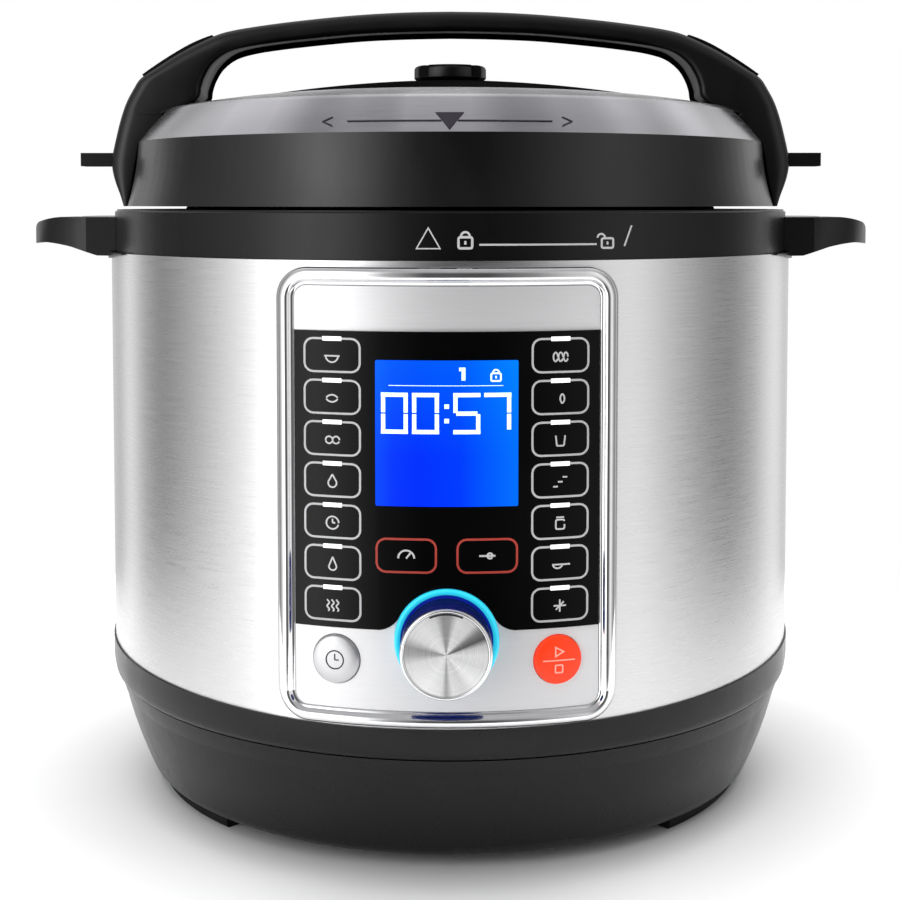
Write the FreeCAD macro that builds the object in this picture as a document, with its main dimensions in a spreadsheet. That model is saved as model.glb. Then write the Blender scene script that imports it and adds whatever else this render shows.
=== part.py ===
"""Electric pressure cooker, 8-quart class, as a parametric FreeCAD document.

Millimetres, +Z up. The origin is on the body's axis at the surface it stands on.
The control panel faces -Y and the side handles point along X.
"""
import FreeCAD, Part
import math
import os
import re
import Sketcher

SIZES = {
    # body
    "foot_depth": 5.5, "foot_radius": 140.5, "foot_width": 8.5, "foot_sweep": 33,
    "base_floor": 3, "bowl_low_radius": 142.5, "bowl_top_radius": 159.7, "bowl_top": 50.2,
    "rim_low": 51, "rim_seat": 60, "rim_radius": 162.8, "rim_side_top": 67.9, "rim_dip": 4.2,
    "shell_radius": 162, "shell_wall": 0.8, "shell_top": 248,
    "collar_radius": 160.3, "collar_top": 267.5, "collar_mouth": 136,
    "grip_reach": 200.7, "grip_top": 264, "grip_slot": 11,
    # locking pot, inner pot and heater
    "well_radius": 125.2, "well_wall": 1.2, "well_floor": 56, "well_step": 246,
    "well_mouth": 134, "well_top": 260, "lug_sweep": 20, "lug_count": 8, "lug_bore": 130.4,
    "pot_radius": 119, "pot_wall": 1, "pot_floor": 72, "pot_rim": 248.8, "pot_flange": 127,
    "heater_radius": 85, "sensor_radius": 12,
    # lid
    "lid_low": 269, "lid_low_radius": 154.5, "lid_edge": 298.5, "lid_edge_radius": 149.1,
    "cone_top": 314, "cone_top_radius": 135.7, "trim_inner": 98.7, "trim_inner_top": 319.6,
    "dome_top": 328.9, "cap_radius": 127.5, "cap_wall": 1.2,
    "handle_width": 40,
    "valve_radius": 17.4, "valve_low": 329.7, "valve_top": 336.6, "pipe_radius": 4,
    "float_x": -48, "float_y": 30, "float_radius": 3,
    # control panel
    "bezel_half": 68, "bezel_low": 64.6, "bezel_top": 246.1, "bezel_radius": 166.4,
    "face_half": 60.3, "face_low": 71.4, "face_top": 238.4, "face_radius": 163.6,
    "window_low": 103.6, "window_top": 220.8, "window_radius": 164.5,
    "display_half": 27.8, "display_low": 152.7, "display_top": 209.6,
    "knob_height": 99.8, "knob_radius": 17.7, "knob_front": 184, "ring_radius": 20.5,
    "ring_front": 165.4, "ring_back": 160, "shaft_radius": 3,
    "button_radius": 9.7, "button_height": 90.9, "button_angle": 15.46, "button_front": 165.6,
    "board_front": 144,
    # back of the body
    "cup_half": 30, "cup_low": 186, "cup_top": 238, "cup_back": 184, "cup_wall": 2,
    "inlet_half": 14, "inlet_low": 17, "inlet_top": 38, "inlet_back": 151.5,
}

doc = FreeCAD.newDocument("PressureCooker")
sheet = doc.addObject("Spreadsheet::Sheet", "Sizes")
subparts = []


def fill_sheet():
    """Put each driving dimension in the sheet under its alias."""
    for row, (alias, size) in enumerate(SIZES.items(), start=1):
        sheet.set(f"A{row}", alias)
        sheet.set(f"B{row}", str(size))
        sheet.setAlias(f"B{row}", alias)
    doc.recompute()


def bound(expression):
    """Point every alias in an expression at the sheet."""
    return re.sub(r"[a-z]+(?:_[a-z]+)+", lambda found: "Sizes." + found.group(), str(expression))


def value(expression):
    return float(sheet.evalExpression(bound(expression)))


def keep(item, label):
    """Name a finished sub-part; the label is the name of its file."""
    item.Label = label
    subparts.append(item)
    return item


# ---------------------------------------------------------------- sketches

def fix_point(sketch, edge, end, x, y):
    """Tie one end of an edge to sheet values, measured from the sketch's origin."""
    for kind, size in (("DistanceX", x), ("DistanceY", y)):
        place = sketch.addConstraint(Sketcher.Constraint(kind, -1, 1, edge, end, value(size)))
        sketch.setExpression(f"Constraints[{place}]", bound(size))


def bowed_edge(start, end, bow):
    """An arc whose middle stands off the chord by bow, to the left of its direction."""
    chord = end - start
    half = chord.Length / 2
    radius = (half * half + bow * bow) / (2 * abs(bow))
    left = FreeCAD.Vector(-chord.y, chord.x, 0).normalize()
    middle = (start + end) * 0.5
    centre = middle + left * (bow - math.copysign(radius, bow))
    first, last = (end, start) if bow > 0 else (start, end)
    angles = [math.atan2(spot.y - centre.y, spot.x - centre.x) for spot in (first, last)]
    circle = Part.Circle(centre, FreeCAD.Vector(0, 0, 1), radius)
    return Part.ArcOfCircle(circle, *angles), radius, (2, 1) if bow > 0 else (1, 2)


def add_loop(sketch, points):
    """Close a loop. A point's third value bows the edge that arrives at it."""
    spots = [FreeCAD.Vector(value(point[0]), value(point[1]), 0) for point in points]
    ends = []
    for index, point in enumerate(points):
        start, end = spots[index - 1], spots[index]
        if len(point) == 3:
            arc, radius, order = bowed_edge(start, end, point[2])
            edge = sketch.addGeometry(arc, False)
            sketch.addConstraint(Sketcher.Constraint("Radius", edge, radius))
        else:
            edge = sketch.addGeometry(Part.LineSegment(start, end), False)
            order = (1, 2)
        ends.append((edge, *order))
    for index, point in enumerate(points):
        edge, _, tail = ends[index]
        following, head, _ = ends[(index + 1) % len(ends)]
        sketch.addConstraint(Sketcher.Constraint("Coincident", edge, tail, following, head))
        fix_point(sketch, edge, tail, point[0], point[1])


def add_circle(sketch, x, y, radius):
    centre = FreeCAD.Vector(value(x), value(y), 0)
    circle = Part.Circle(centre, FreeCAD.Vector(0, 0, 1), value(radius))
    edge = sketch.addGeometry(circle, False)
    place = sketch.addConstraint(Sketcher.Constraint("Radius", edge, value(radius)))
    sketch.setExpression(f"Constraints[{place}]", bound(radius))
    fix_point(sketch, edge, 3, x, y)


def rounded_box(left, low, right, high, corner):
    """A rectangle's loop with round corners of one radius."""
    bow = -corner * (1 - math.cos(math.pi / 4))
    return [
        (f"{left} + {corner}", low), (f"{right} - {corner}", low),
        (right, f"{low} + {corner}", bow), (right, f"{high} - {corner}"),
        (f"{right} - {corner}", high, bow), (f"{left} + {corner}", high),
        (left, f"{high} - {corner}", bow), (left, f"{low} + {corner}"),
        (f"{left} + {corner}", low, bow),
    ][1:]


def draw(sketch, loops):
    """Draw each loop; a loop of three plain values is a circle."""
    for loop in loops:
        if isinstance(loop[0], (tuple, list)):
            add_loop(sketch, loop)
        else:
            add_circle(sketch, *loop)


# ---------------------------------------------------------------- solids

PLANES = {
    "XY": FreeCAD.Rotation(),
    "XZ": FreeCAD.Rotation(FreeCAD.Vector(1, 0, 0), 90),
    "YZ": FreeCAD.Rotation(FreeCAD.Vector(1, 1, 1), 120),
}


def body_sketch(body, name, role, loops):
    """A sketch on one of the body's own origin planes."""
    sketch = body.newObject("Sketcher::SketchObject", name)
    plane = [item for item in body.Origin.OriginFeatures if item.Role == role][0]
    sketch.AttachmentSupport = (plane, [""])
    sketch.MapMode = "FlatFace"
    draw(sketch, loops)
    return sketch


def turned(name, *loops):
    """A body of revolution about Z; loops are in radius and height."""
    body = doc.addObject("PartDesign::Body", name)
    sketch = body_sketch(body, name + "_profile", "XZ_Plane", loops)
    spin = body.newObject("PartDesign::Revolution", name + "_spin")
    spin.Profile = sketch
    spin.ReferenceAxis = (sketch, ["V_Axis"])
    spin.Angle = 360
    return body


def add_lugs(body, name, loop):
    """Lugs round a turned body, each a short sweep of its own profile."""
    sketch = body_sketch(body, name + "_lug", "XZ_Plane", [loop])
    lug = body.newObject("PartDesign::Revolution", name + "_lug_sweep")
    lug.Profile = sketch
    lug.ReferenceAxis = (sketch, ["V_Axis"])
    lug.setExpression("Angle", bound("lug_sweep"))
    lug.Midplane = True
    doc.recompute()
    pattern = body.newObject("PartDesign::PolarPattern", name + "_lugs")
    pattern.Originals = [lug]
    axis = [item for item in body.Origin.OriginFeatures if item.Role == "Z_Axis"][0]
    pattern.Axis = (axis, [""])
    pattern.Angle = 360
    pattern.setExpression("Occurrences", bound("lug_count"))
    body.Tip = pattern
    return body


def prism(name, plane, loops, start, end):
    """An outline in a plane, extruded from start to end along the plane's normal."""
    sketch = doc.addObject("Sketcher::SketchObject", name + "_outline")
    sketch.Placement = FreeCAD.Placement(FreeCAD.Vector(), PLANES[plane])
    draw(sketch, loops)
    solid = doc.addObject("Part::Extrusion", name)
    solid.Base = sketch
    solid.DirMode = "Custom"
    solid.Dir = PLANES[plane].multVec(FreeCAD.Vector(0, 0, 1))
    solid.setExpression("LengthFwd", bound(end))
    solid.setExpression("LengthRev", bound(f"-({start})"))
    solid.Solid = True
    return solid


def block(name, x, y, z):
    """A box from three (low, high) pairs."""
    solid = doc.addObject("Part::Box", name)
    for side, axis, (low, high) in zip(("Length", "Width", "Height"), "xyz", (x, y, z)):
        solid.setExpression(side, bound(f"({high}) - ({low})"))
        solid.setExpression(f"Placement.Base.{axis}", bound(low))
    return solid


def rod(name, base, axis, radius, length):
    """A cylinder from a base point along a direction."""
    solid = doc.addObject("Part::Cylinder", name)
    turn = FreeCAD.Rotation(FreeCAD.Vector(0, 0, 1), FreeCAD.Vector(*axis))
    solid.Placement = FreeCAD.Placement(FreeCAD.Vector(), turn)
    for letter, place in zip("xyz", base):
        solid.setExpression(f"Placement.Base.{letter}", bound(place))
    solid.setExpression("Radius", bound(radius))
    solid.setExpression("Height", bound(length))
    return solid


def cut(name, base, tool):
    solid = doc.addObject("Part::Cut", name)
    solid.Base = base
    solid.Tool = tool
    return solid


def fuse(name, *items):
    solid = doc.addObject("Part::MultiFuse", name)
    solid.Shapes = list(items)
    return solid


def common(name, first, second):
    solid = doc.addObject("Part::Common", name)
    solid.Base = first
    solid.Tool = second
    return solid


def group(name, items):
    """Identical loose pieces that share one node."""
    solid = doc.addObject("Part::Compound", name)
    solid.Links = items
    return solid


def tube(name, outer, inner, low, high):
    """An upright tube."""
    wall = rod(name + "_outer", ("0", "0", low), (0, 0, 1), outer, f"({high}) - ({low})")
    bore = rod(name + "_bore", ("0", "0", f"({low}) - 1"), (0, 0, 1), inner, f"({high}) - ({low}) + 2")
    return cut(name, wall, bore)


def turned_by(item, degrees):
    """Turn a finished piece about the body's axis."""
    item.Placement = FreeCAD.Placement(
        FreeCAD.Vector(), FreeCAD.Rotation(FreeCAD.Vector(0, 0, 1), degrees)).multiply(item.Placement)
    return item


def on_circle(count, radius, offset=45):
    """Evenly spaced points on a circle, as (x, y) in millimetres."""
    angles = [math.radians(offset + 360 / count * index) for index in range(count)]
    return [(radius * math.cos(angle), radius * math.sin(angle)) for angle in angles]


# ---------------------------------------------------------------- base

def make_bowl():
    wall = turned("bowl_wall", [
        ("70", "foot_depth"), ("bowl_low_radius", "foot_depth"), ("146.2", "10", -0.6),
        ("157.3", "42.5", -0.8), ("bowl_top_radius", "bowl_top", -0.15), ("154.5", "bowl_top"), ("154.5", "58"),
        ("151.5", "58"), ("151.5", "46"), ("142", "14"), ("138", "foot_depth + base_floor"),
        ("70", "foot_depth + base_floor")])
    posts = [rod(f"bowl_post_{index}", (x, y, "foot_depth"), (0, 0, 1), "4", "8.5")
             for index, (x, y) in enumerate(on_circle(4, 90))]
    opening = block("bowl_inlet_opening", ("-inlet_half - 0.1", "inlet_half + 0.1"),
                    ("120", "170"), ("inlet_low - 0.1", "inlet_top + 0.1"))
    screw_holes = [rod(f"bowl_screw_hole_{index}", (x, y, "0"), (0, 0, 1), "1.6", "30")
                   for index, (x, y) in enumerate(on_circle(4, 76))]
    solid = fuse("bowl_with_posts", wall, *posts)
    keep(cut("bowl_cut", solid, fuse("bowl_openings", opening, *screw_holes)), "base_bowl")


def make_rim():
    ring = turned("rim_ring", [
        ("154.8", "rim_low"), ("160.4", "rim_low"), ("162.2", "54.5", -0.4),
        ("rim_radius", "62", -0.2), ("rim_radius", "72"), ("shell_radius + 0.05", "72"),
        ("shell_radius + 0.05", "rim_seat"), ("154.8", "rim_seat")])
    above = prism("rim_above", "YZ", [[
        ("-170", "rim_side_top - rim_dip * 1.1"), ("170", "rim_side_top - rim_dip * 1.1", 4.6),
        ("170", "90"), ("-170", "90")]], "-170", "170")
    keep(cut("rim_cut", ring, above), "base_rim")


def make_feet():
    for index, middle in enumerate((-149.5, -30.5, 30.5, 149.5), start=1):
        body = doc.addObject("PartDesign::Body", f"foot_body_{index}")
        sketch = body_sketch(body, f"foot_profile_{index}", "XZ_Plane", [[
            ("foot_radius - foot_width", "0"), ("foot_radius - 1.5", "0"),
            ("foot_radius", "1.5", -0.4), ("foot_radius", "foot_depth"),
            ("foot_radius - foot_width", "foot_depth")]])
        sweep = body.newObject("PartDesign::Revolution", f"foot_sweep_{index}")
        sweep.Profile = sketch
        sweep.ReferenceAxis = (sketch, ["V_Axis"])
        sweep.setExpression("Angle", bound("foot_sweep"))
        sweep.Midplane = True
        keep(turned_by(body, middle), f"foot_{index}")


def make_bottom_cover():
    plate = rod("cover_plate", ("0", "0", "foot_depth - 2"), (0, 0, 1), "82", "1.95")
    vents = [block(f"cover_vent_{index}", ("-26", "26"), (12 * index - 38, 12 * index - 34), ("0", "20"))
             for index in range(7)]
    holes = [rod(f"cover_hole_{index}", (x, y, "0"), (0, 0, 1), "1.6", "30")
             for index, (x, y) in enumerate(on_circle(4, 76))]
    keep(cut("cover_cut", plate, fuse("cover_openings", *vents, *holes)), "bottom_cover")
    screws = []
    for index, (x, y) in enumerate(on_circle(4, 76)):
        head = rod(f"cover_screw_head_{index}", (x, y, "foot_depth - 3.6"), (0, 0, 1), "3.2", "1.55")
        shank = rod(f"cover_screw_shank_{index}", (x, y, "foot_depth - 3"), (0, 0, 1), "1.5", "7")
        screws.append(fuse(f"cover_screw_{index}", head, shank))
    keep(group("cover_screws", screws), "bottom_screws")


# ---------------------------------------------------------------- shell and collar

def make_shell():
    skin = tube("shell_skin", "shell_radius", "shell_radius - shell_wall", "rim_seat + 0.05", "shell_top")
    window = block("shell_window", ("-54", "54"), ("-170", "-120"), ("78", "231"))
    keep(cut("shell_cut", skin, window), "steel_shell")


def make_collar():
    ring = turned("collar_ring", [
        ("collar_mouth", "collar_top - 3"), ("collar_mouth", "collar_top - 0.8"),
        ("collar_mouth + 1", "collar_top"), ("collar_radius - 1", "collar_top"),
        ("collar_radius", "collar_top - 1", -0.3), ("collar_radius", "shell_top + 0.3"),
        ("shell_radius - 1.1", "shell_top + 0.3"), ("shell_radius - 1.1", "238"),
        ("157.3", "238"), ("157.3", "collar_top - 3")])
    bosses = [rod(f"collar_boss_{index}", (x, y, "well_top + 0.05"), (0, 0, 1), "3.8", "5")
              for index, (x, y) in enumerate(on_circle(4, 140))]
    solid = fuse("collar_with_bosses", ring, *bosses)
    holes = [rod(f"collar_screw_hole_{index}", (x, y, "255"), (0, 0, 1), "1.6", "10.5")
             for index, (x, y) in enumerate(on_circle(4, 140))]
    keep(cut("collar_cut", solid, fuse("collar_holes", *holes)), "collar")
    screws = []
    for index, (x, y) in enumerate(on_circle(4, 140)):
        head = rod(f"collar_screw_head_{index}", (x, y, "well_top - well_wall - 2"), (0, 0, 1), "3", "1.95")
        shank = rod(f"collar_screw_shank_{index}", (x, y, "well_top - 3"), (0, 0, 1), "1.5", "8")
        screws.append(fuse(f"collar_screw_{index}", head, shank))
    keep(group("collar_screw_set", screws), "collar_screws")


def make_side_handle(label, side):
    """A wing on the collar with a slot that takes a tab of the lid."""
    def across(x):
        return f"{side} * ({x})"
    bow = -side
    plan = prism(label + "_plan", "XY", [[
        (across("140"), "-46"), (across("168"), "-44"), (across("grip_reach"), "0", 10 * bow),
        (across("168"), "44", 10 * bow), (across("140"), "46")]], "240", "268")
    profile = prism(label + "_profile", "XZ", [[
        (across("140"), "245.8"), (across("163"), "246.2"), (across("175"), "250"),
        (across("189"), "252", -0.3 * bow), (across("grip_reach - 0.4"), "251", -0.3 * bow),
        (across("199.6"), "257.6", 0.3 * bow), (across("195.4"), "261.5", 0.5 * bow),
        (across("181"), "grip_top", 0.4 * bow), (across("140"), "grip_top")]], "-60", "60")
    wing = common(label + "_wing", plan, profile)
    band = tube(label + "_band", "shell_radius + 1.5", "shell_radius + 0.1", "240", "248.2")
    taper = prism(label + "_taper", "YZ", [[
        ("-76", "248.2"), ("-76", "247.5"), ("-42", "245"), ("42", "245"), ("76", "247.5"),
        ("76", "248.2")]], *sorted((140 * side, 170 * side)))
    inside = rod(label + "_inside", ("0", "0", "230"), (0, 0, 1), "shell_radius + 0.1", "18.4")
    ring = rod(label + "_ring", ("0", "0", "230"), (0, 0, 1), "collar_radius + 0.02", "50")
    slot = block(label + "_slot", (across("182 - grip_slot / 2 * " + str(side)),
                                   across("182 + grip_slot / 2 * " + str(side))),
                 ("-9", "9"), ("230", "280"))
    grip = cut(label + "_grip", wing, fuse(label + "_clear", inside, ring, slot))
    keep(fuse(label + "_solid", grip, common(label + "_lip", band, taper)), label)


# ---------------------------------------------------------------- pots and heater

def make_outer_pot():
    body = turned("well_body", [
        ("15", "well_floor"), ("well_radius", "well_floor"), ("well_radius", "well_step"),
        ("well_mouth + well_wall", "well_step"), ("well_mouth + well_wall", "well_top - well_wall"),
        ("143.5", "well_top - well_wall"), ("143.5", "well_top"), ("well_mouth", "well_top"),
        ("well_mouth", "well_step + well_wall"), ("well_radius - well_wall", "well_step + well_wall"),
        ("well_radius - well_wall", "well_floor + well_wall"), ("15", "well_floor + well_wall")])
    add_lugs(body, "well", [
        ("lug_bore", "256"), ("well_mouth + 0.6", "256"), ("well_mouth + 0.6", "258"), ("lug_bore", "258")])
    holes = [rod(f"well_hole_{index}", (x, y, "255"), (0, 0, 1), "1.6", "10")
             for index, (x, y) in enumerate(on_circle(4, 140))]
    keep(cut("well_cut", body, fuse("well_holes", *holes)), "outer_pot")


def make_inner_pot():
    keep(turned("pot_body", [
        ("0", "pot_floor"), ("pot_radius - 8", "pot_floor"), ("pot_radius", "pot_floor + 8", -2.3),
        ("pot_radius", "pot_rim - pot_wall"), ("pot_flange", "pot_rim - pot_wall"),
        ("pot_flange", "pot_rim"), ("pot_radius - pot_wall", "pot_rim"),
        ("pot_radius - pot_wall", "pot_floor + 8"), ("pot_radius - 8", "pot_floor + pot_wall", 2.0),
        ("0", "pot_floor + pot_wall")]), "inner_pot")


def make_heater():
    keep(turned("plate_body", [
        ("sensor_radius + 1.5", "well_floor + 1.4"), ("heater_radius", "well_floor + 1.4"),
        ("heater_radius", "pot_floor - 3.3"), ("heater_radius - 3", "pot_floor - 0.3"),
        ("sensor_radius + 1.5", "pot_floor - 0.3")]), "heating_plate")
    studs = [rod(f"terminal_{index}", (x, "-60", "well_floor - 12"), (0, 0, 1), "2", "11.9")
             for index, x in enumerate(("-12", "12"))]
    keep(group("terminal_pair", studs), "heater_terminals")


def make_sensor():
    """A sprung temperature sensor in the middle of the heating plate."""
    keep(turned("sensor_body", [
        ("0", "pot_floor - 0.3"), ("sensor_radius - 1", "pot_floor - 0.3"),
        ("sensor_radius", "pot_floor - 1.3"), ("sensor_radius", "55"),
        ("sensor_radius - 1.2", "55"), ("sensor_radius - 1.2", "pot_floor - 3"),
        ("0", "pot_floor - 3")]), "sensor_cup")
    keep(turned("sensor_holder", [
        ("0", "40"), ("14.6", "40"), ("14.6", "well_floor + 1.3"),
        ("sensor_radius + 0.4", "well_floor + 1.3"), ("sensor_radius + 0.4", "42"), ("0", "42")]),
        "sensor_bracket")
    turns = []
    for index in range(6):
        turn = doc.addObject("Part::Torus", f"coil_turn_{index}")
        turn.Radius1 = 7
        turn.Radius2 = 0.8
        turn.Placement.Base = FreeCAD.Vector(0, 0, 43 + 5 * index)
        turns.append(turn)
    keep(group("coil_turns", turns), "sensor_spring")


def make_safety_parts():
    case = block("switch_case", ("46", "70"), ("28", "46"), ("well_floor - 10", "well_floor - 0.05"))
    blade = block("switch_blade", ("52", "64"), ("36", "38"), ("well_floor - 18", "well_floor - 9"))
    keep(fuse("switch_body", case, blade), "pressure_switch")
    barrel = rod("fuse_barrel", ("-56", "24", "well_floor - 5"), (0, 1, 0), "4", "20")
    leads = rod("fuse_leads", ("-56", "14", "well_floor - 5"), (0, 1, 0), "0.8", "40")
    keep(fuse("fuse_body", barrel, leads), "thermal_fuse")


# ---------------------------------------------------------------- electrics in the base

def make_power_board():
    plate = block("board_plate", ("-72", "72"), ("-72", "72"), ("foot_depth + 8.55", "foot_depth + 10.15"))
    hollow = block("board_middle", ("-30", "30"), ("-40", "100"), ("0", "40"))
    holes = [rod(f"board_hole_{index}", (x, y, "0"), (0, 0, 1), "1.6", "60")
             for index, (x, y) in enumerate(on_circle(4, 90))]
    keep(cut("board_cut", plate, fuse("board_openings", hollow, *holes)), "power_board")
    keep(block("relay_case", ("-62", "-42"), ("-20", "0"), ("foot_depth + 10.2", "foot_depth + 26")), "relay")
    core = block("transformer_core", ("38", "62"), ("-24", "4"), ("foot_depth + 10.2", "foot_depth + 30"))
    coil = block("transformer_coil", ("42", "58"), ("-28", "8"), ("foot_depth + 13", "foot_depth + 27"))
    keep(fuse("transformer_body", core, coil), "transformer")


def make_inlet():
    shell = block("inlet_shell", ("-inlet_half", "inlet_half"), ("128", "inlet_back"), ("inlet_low", "inlet_top"))
    recess = block("inlet_recess", ("-12.2", "12.2"), ("inlet_back - 16", "inlet_back + 1"),
                   ("inlet_low + 2", "inlet_top - 2"))
    slots = [block(f"inlet_slot_{index}", (x - 2.05, x + 2.05), ("120", "140"), (z - 1.05, z + 1.05))
             for index, (x, z) in enumerate(((-7, 25.5), (7, 25.5), (0, 29.5)))]
    keep(cut("inlet_cut", shell, fuse("inlet_openings", recess, *slots)), "inlet_socket")
    pins = [block(f"inlet_pin_{index}", (x - 2, x + 2), ("122", "inlet_back - 5"), (z - 1, z + 1))
            for index, (x, z) in enumerate(((-7, 25.5), (7, 25.5), (0, 29.5)))]
    keep(group("inlet_pin_set", pins), "inlet_pins")


# ---------------------------------------------------------------- control panel

def radial_holes(name, radius):
    """The two round button bores, each square to the curved panel."""
    bores = []
    for side in (-1, 1):
        bore = rod(f"{name}_{side + 1}", ("0", "0", "button_height"), (0, -1, 0), radius, "180")
        bores.append(turned_by(bore, side * value("button_angle")))
    return bores


def curved(name, outer, inner, loops):
    """A curved plate: an outline on the front, kept between two radii."""
    skin = tube(name + "_skin", outer, inner, "bezel_low - 5", "bezel_top + 5")
    return common(name, skin, prism(name + "_front", "XZ", loops, "20", "200"))


def make_bezel():
    frame = curved("bezel_frame", "bezel_radius", "shell_radius + 0.05", [
        rounded_box("-bezel_half", "bezel_low", "bezel_half", "bezel_top", 13),
        rounded_box("-face_half", "face_low", "face_half", "face_top", 5)])
    keep(frame, "panel_bezel")


def make_panel_face():
    plate = curved("face_plate", "face_radius", "face_radius - 1", [
        rounded_box("-face_half + 0.1", "face_low + 0.1", "face_half - 0.1", "face_top - 0.1", 4.9),
        ("0", "knob_height", "ring_radius + 0.1"),
        rounded_box("-display_half - 0.1", "display_low - 0.1", "display_half + 0.1", "display_top + 0.1", 0.7)])
    keep(cut("face_cut", plate, fuse("face_bores", *radial_holes("face_bore", "button_radius + 0.3"))),
         "panel_face")


def make_panel_window():
    """The glossy key window; its lower edge arches over the knob."""
    keep(curved("window_plate", "window_radius", "face_radius + 0.05", [
        [("face_half - 0.1", "window_low"), ("face_half - 0.1", "window_top"),
         ("-face_half + 0.1", "window_top"), ("-face_half + 0.1", "window_low"),
         ("-26.5", "window_low"), ("-18.98", "knob_height + 8.4", -1.0),
         ("0", "knob_height + ring_radius + 0.25", 3.36), ("18.98", "knob_height + 8.4", 3.36),
         ("26.5", "window_low", -1.0)],
        rounded_box("-display_half - 0.1", "display_low - 0.1", "display_half + 0.1", "display_top + 0.1", 0.7)]),
        "panel_window")


def make_display():
    keep(curved("display_front", "window_radius + 0.1", "face_radius - 0.9", [
        rounded_box("-display_half", "display_low", "display_half", "display_top", 0.6)]), "display_lens")
    keep(block("display_case", ("-26", "26"), ("-158", "-board_front - 0.1"),
               ("display_low + 2", "display_top - 2")), "display_module")
    keep(block("control_plate", ("-50", "50"), ("-board_front", "-board_front + 1.6"), ("84", "228")),
         "control_board")


def make_knob():
    well = fuse("ring_parts",
                rod("ring_back", ("0", "-ring_back", "knob_height"), (0, -1, 0), "ring_radius", "1.5"),
                rod("ring_wall", ("0", "-ring_back", "knob_height"), (0, -1, 0), "ring_radius",
                    "ring_front - ring_back"))
    hollow = rod("ring_hollow", ("0", "-ring_back - 1.5", "knob_height"), (0, -1, 0), "ring_radius - 2.2", "20")
    bush = rod("ring_bush_hole", ("0", "-ring_back + 5", "knob_height"), (0, -1, 0), "5.2", "20")
    keep(cut("ring_cut", well, fuse("ring_openings", hollow, bush)), "light_ring")
    case = block("encoder_case", ("-7", "7"), ("-156", "-board_front - 0.1"), ("knob_height - 7", "knob_height + 7"))
    bushing = rod("encoder_bush", ("0", "-155", "knob_height"), (0, -1, 0), "5", "8.5")
    bore = rod("encoder_bore", ("0", "-148", "knob_height"), (0, -1, 0), "shaft_radius + 0.05", "30")
    keep(cut("encoder_cut", fuse("encoder_solid", case, bushing), bore), "encoder_body")
    keep(rod("shaft_rod", ("0", "-149", "knob_height"), (0, -1, 0), "shaft_radius", "28"), "encoder_shaft")
    grip = rod("knob_grip", ("0", "-ring_front - 0.6", "knob_height"), (0, -1, 0), "knob_radius",
               "knob_front - ring_front - 0.6")
    socket = rod("knob_socket", ("0", "-160", "knob_height"), (0, -1, 0), "shaft_radius", "17")
    dish = rod("knob_dish", ("0", "-knob_front + 0.6", "knob_height"), (0, -1, 0), "knob_radius - 2.4", "5")
    keep(cut("knob_cut", grip, fuse("knob_hollows", socket, dish)), "knob_cap")


def make_button(label, side):
    disc = rod(label + "_disc", ("0", "-157.5", "button_height"), (0, -1, 0), "button_radius",
               "button_front - 158")
    crown = rod(label + "_crown", ("0", "-157.5", "button_height"), (0, -1, 0), "button_radius - 1",
                "button_front - 157.5")
    stem = rod(label + "_stem", ("0", "-154", "button_height"), (0, -1, 0), "2", "5")
    keep(turned_by(fuse(label + "_solid", disc, crown, stem), side * value("button_angle")), label)


def make_tact_switches():
    switches = [block(f"tact_{index}", (x - 3.5, x + 3.5), ("-146.6", "-board_front - 0.1"),
                      ("button_height - 3.5", "button_height + 3.5"))
                for index, x in enumerate((-40.8, 40.8))]
    keep(group("tact_pair", switches), "tact_switches")


# ---------------------------------------------------------------- condensation cup

def make_collector():
    outline = rounded_box("-cup_half", "150", "cup_half", "cup_back", 8)
    outer = prism("cup_outer", "XY", [outline], "cup_low", "cup_top")
    clear = rod("cup_clear", ("0", "0", "100"), (0, 0, 1), "shell_radius + 2.6", "200")
    inner = prism("cup_inner", "XY", [rounded_box(
        "-cup_half + cup_wall", "150", "cup_half - cup_wall", "cup_back - cup_wall", 6)],
        "cup_low + cup_wall", "cup_top + 5")
    keep_back = rod("cup_back_wall", ("0", "0", "100"), (0, 0, 1), "shell_radius + 4.6", "200")
    hollow = cut("cup_hollow", inner, keep_back)
    pegs = [rod(f"cup_peg_hole_{index}", (x, "150", "230"), (0, 1, 0), "3", "18.5")
            for index, x in enumerate(("-12", "12"))]
    keep(cut("cup_cut", outer, fuse("cup_openings", clear, hollow, *pegs)), "collector_cup")
    plate = common("bracket_plate",
                   tube("bracket_skin", "shell_radius + 2.2", "shell_radius + 0.05", "196", "236"),
                   block("bracket_box", ("-20", "20"), ("100", "170"), ("190", "240")))
    studs = [rod(f"bracket_peg_{index}", (x, "162.4", "230"), (0, 1, 0), "2.6", "4.6")
             for index, x in enumerate(("-12", "12"))]
    keep(fuse("bracket_body", plate, *studs), "collector_bracket")


# ---------------------------------------------------------------- lid

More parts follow.
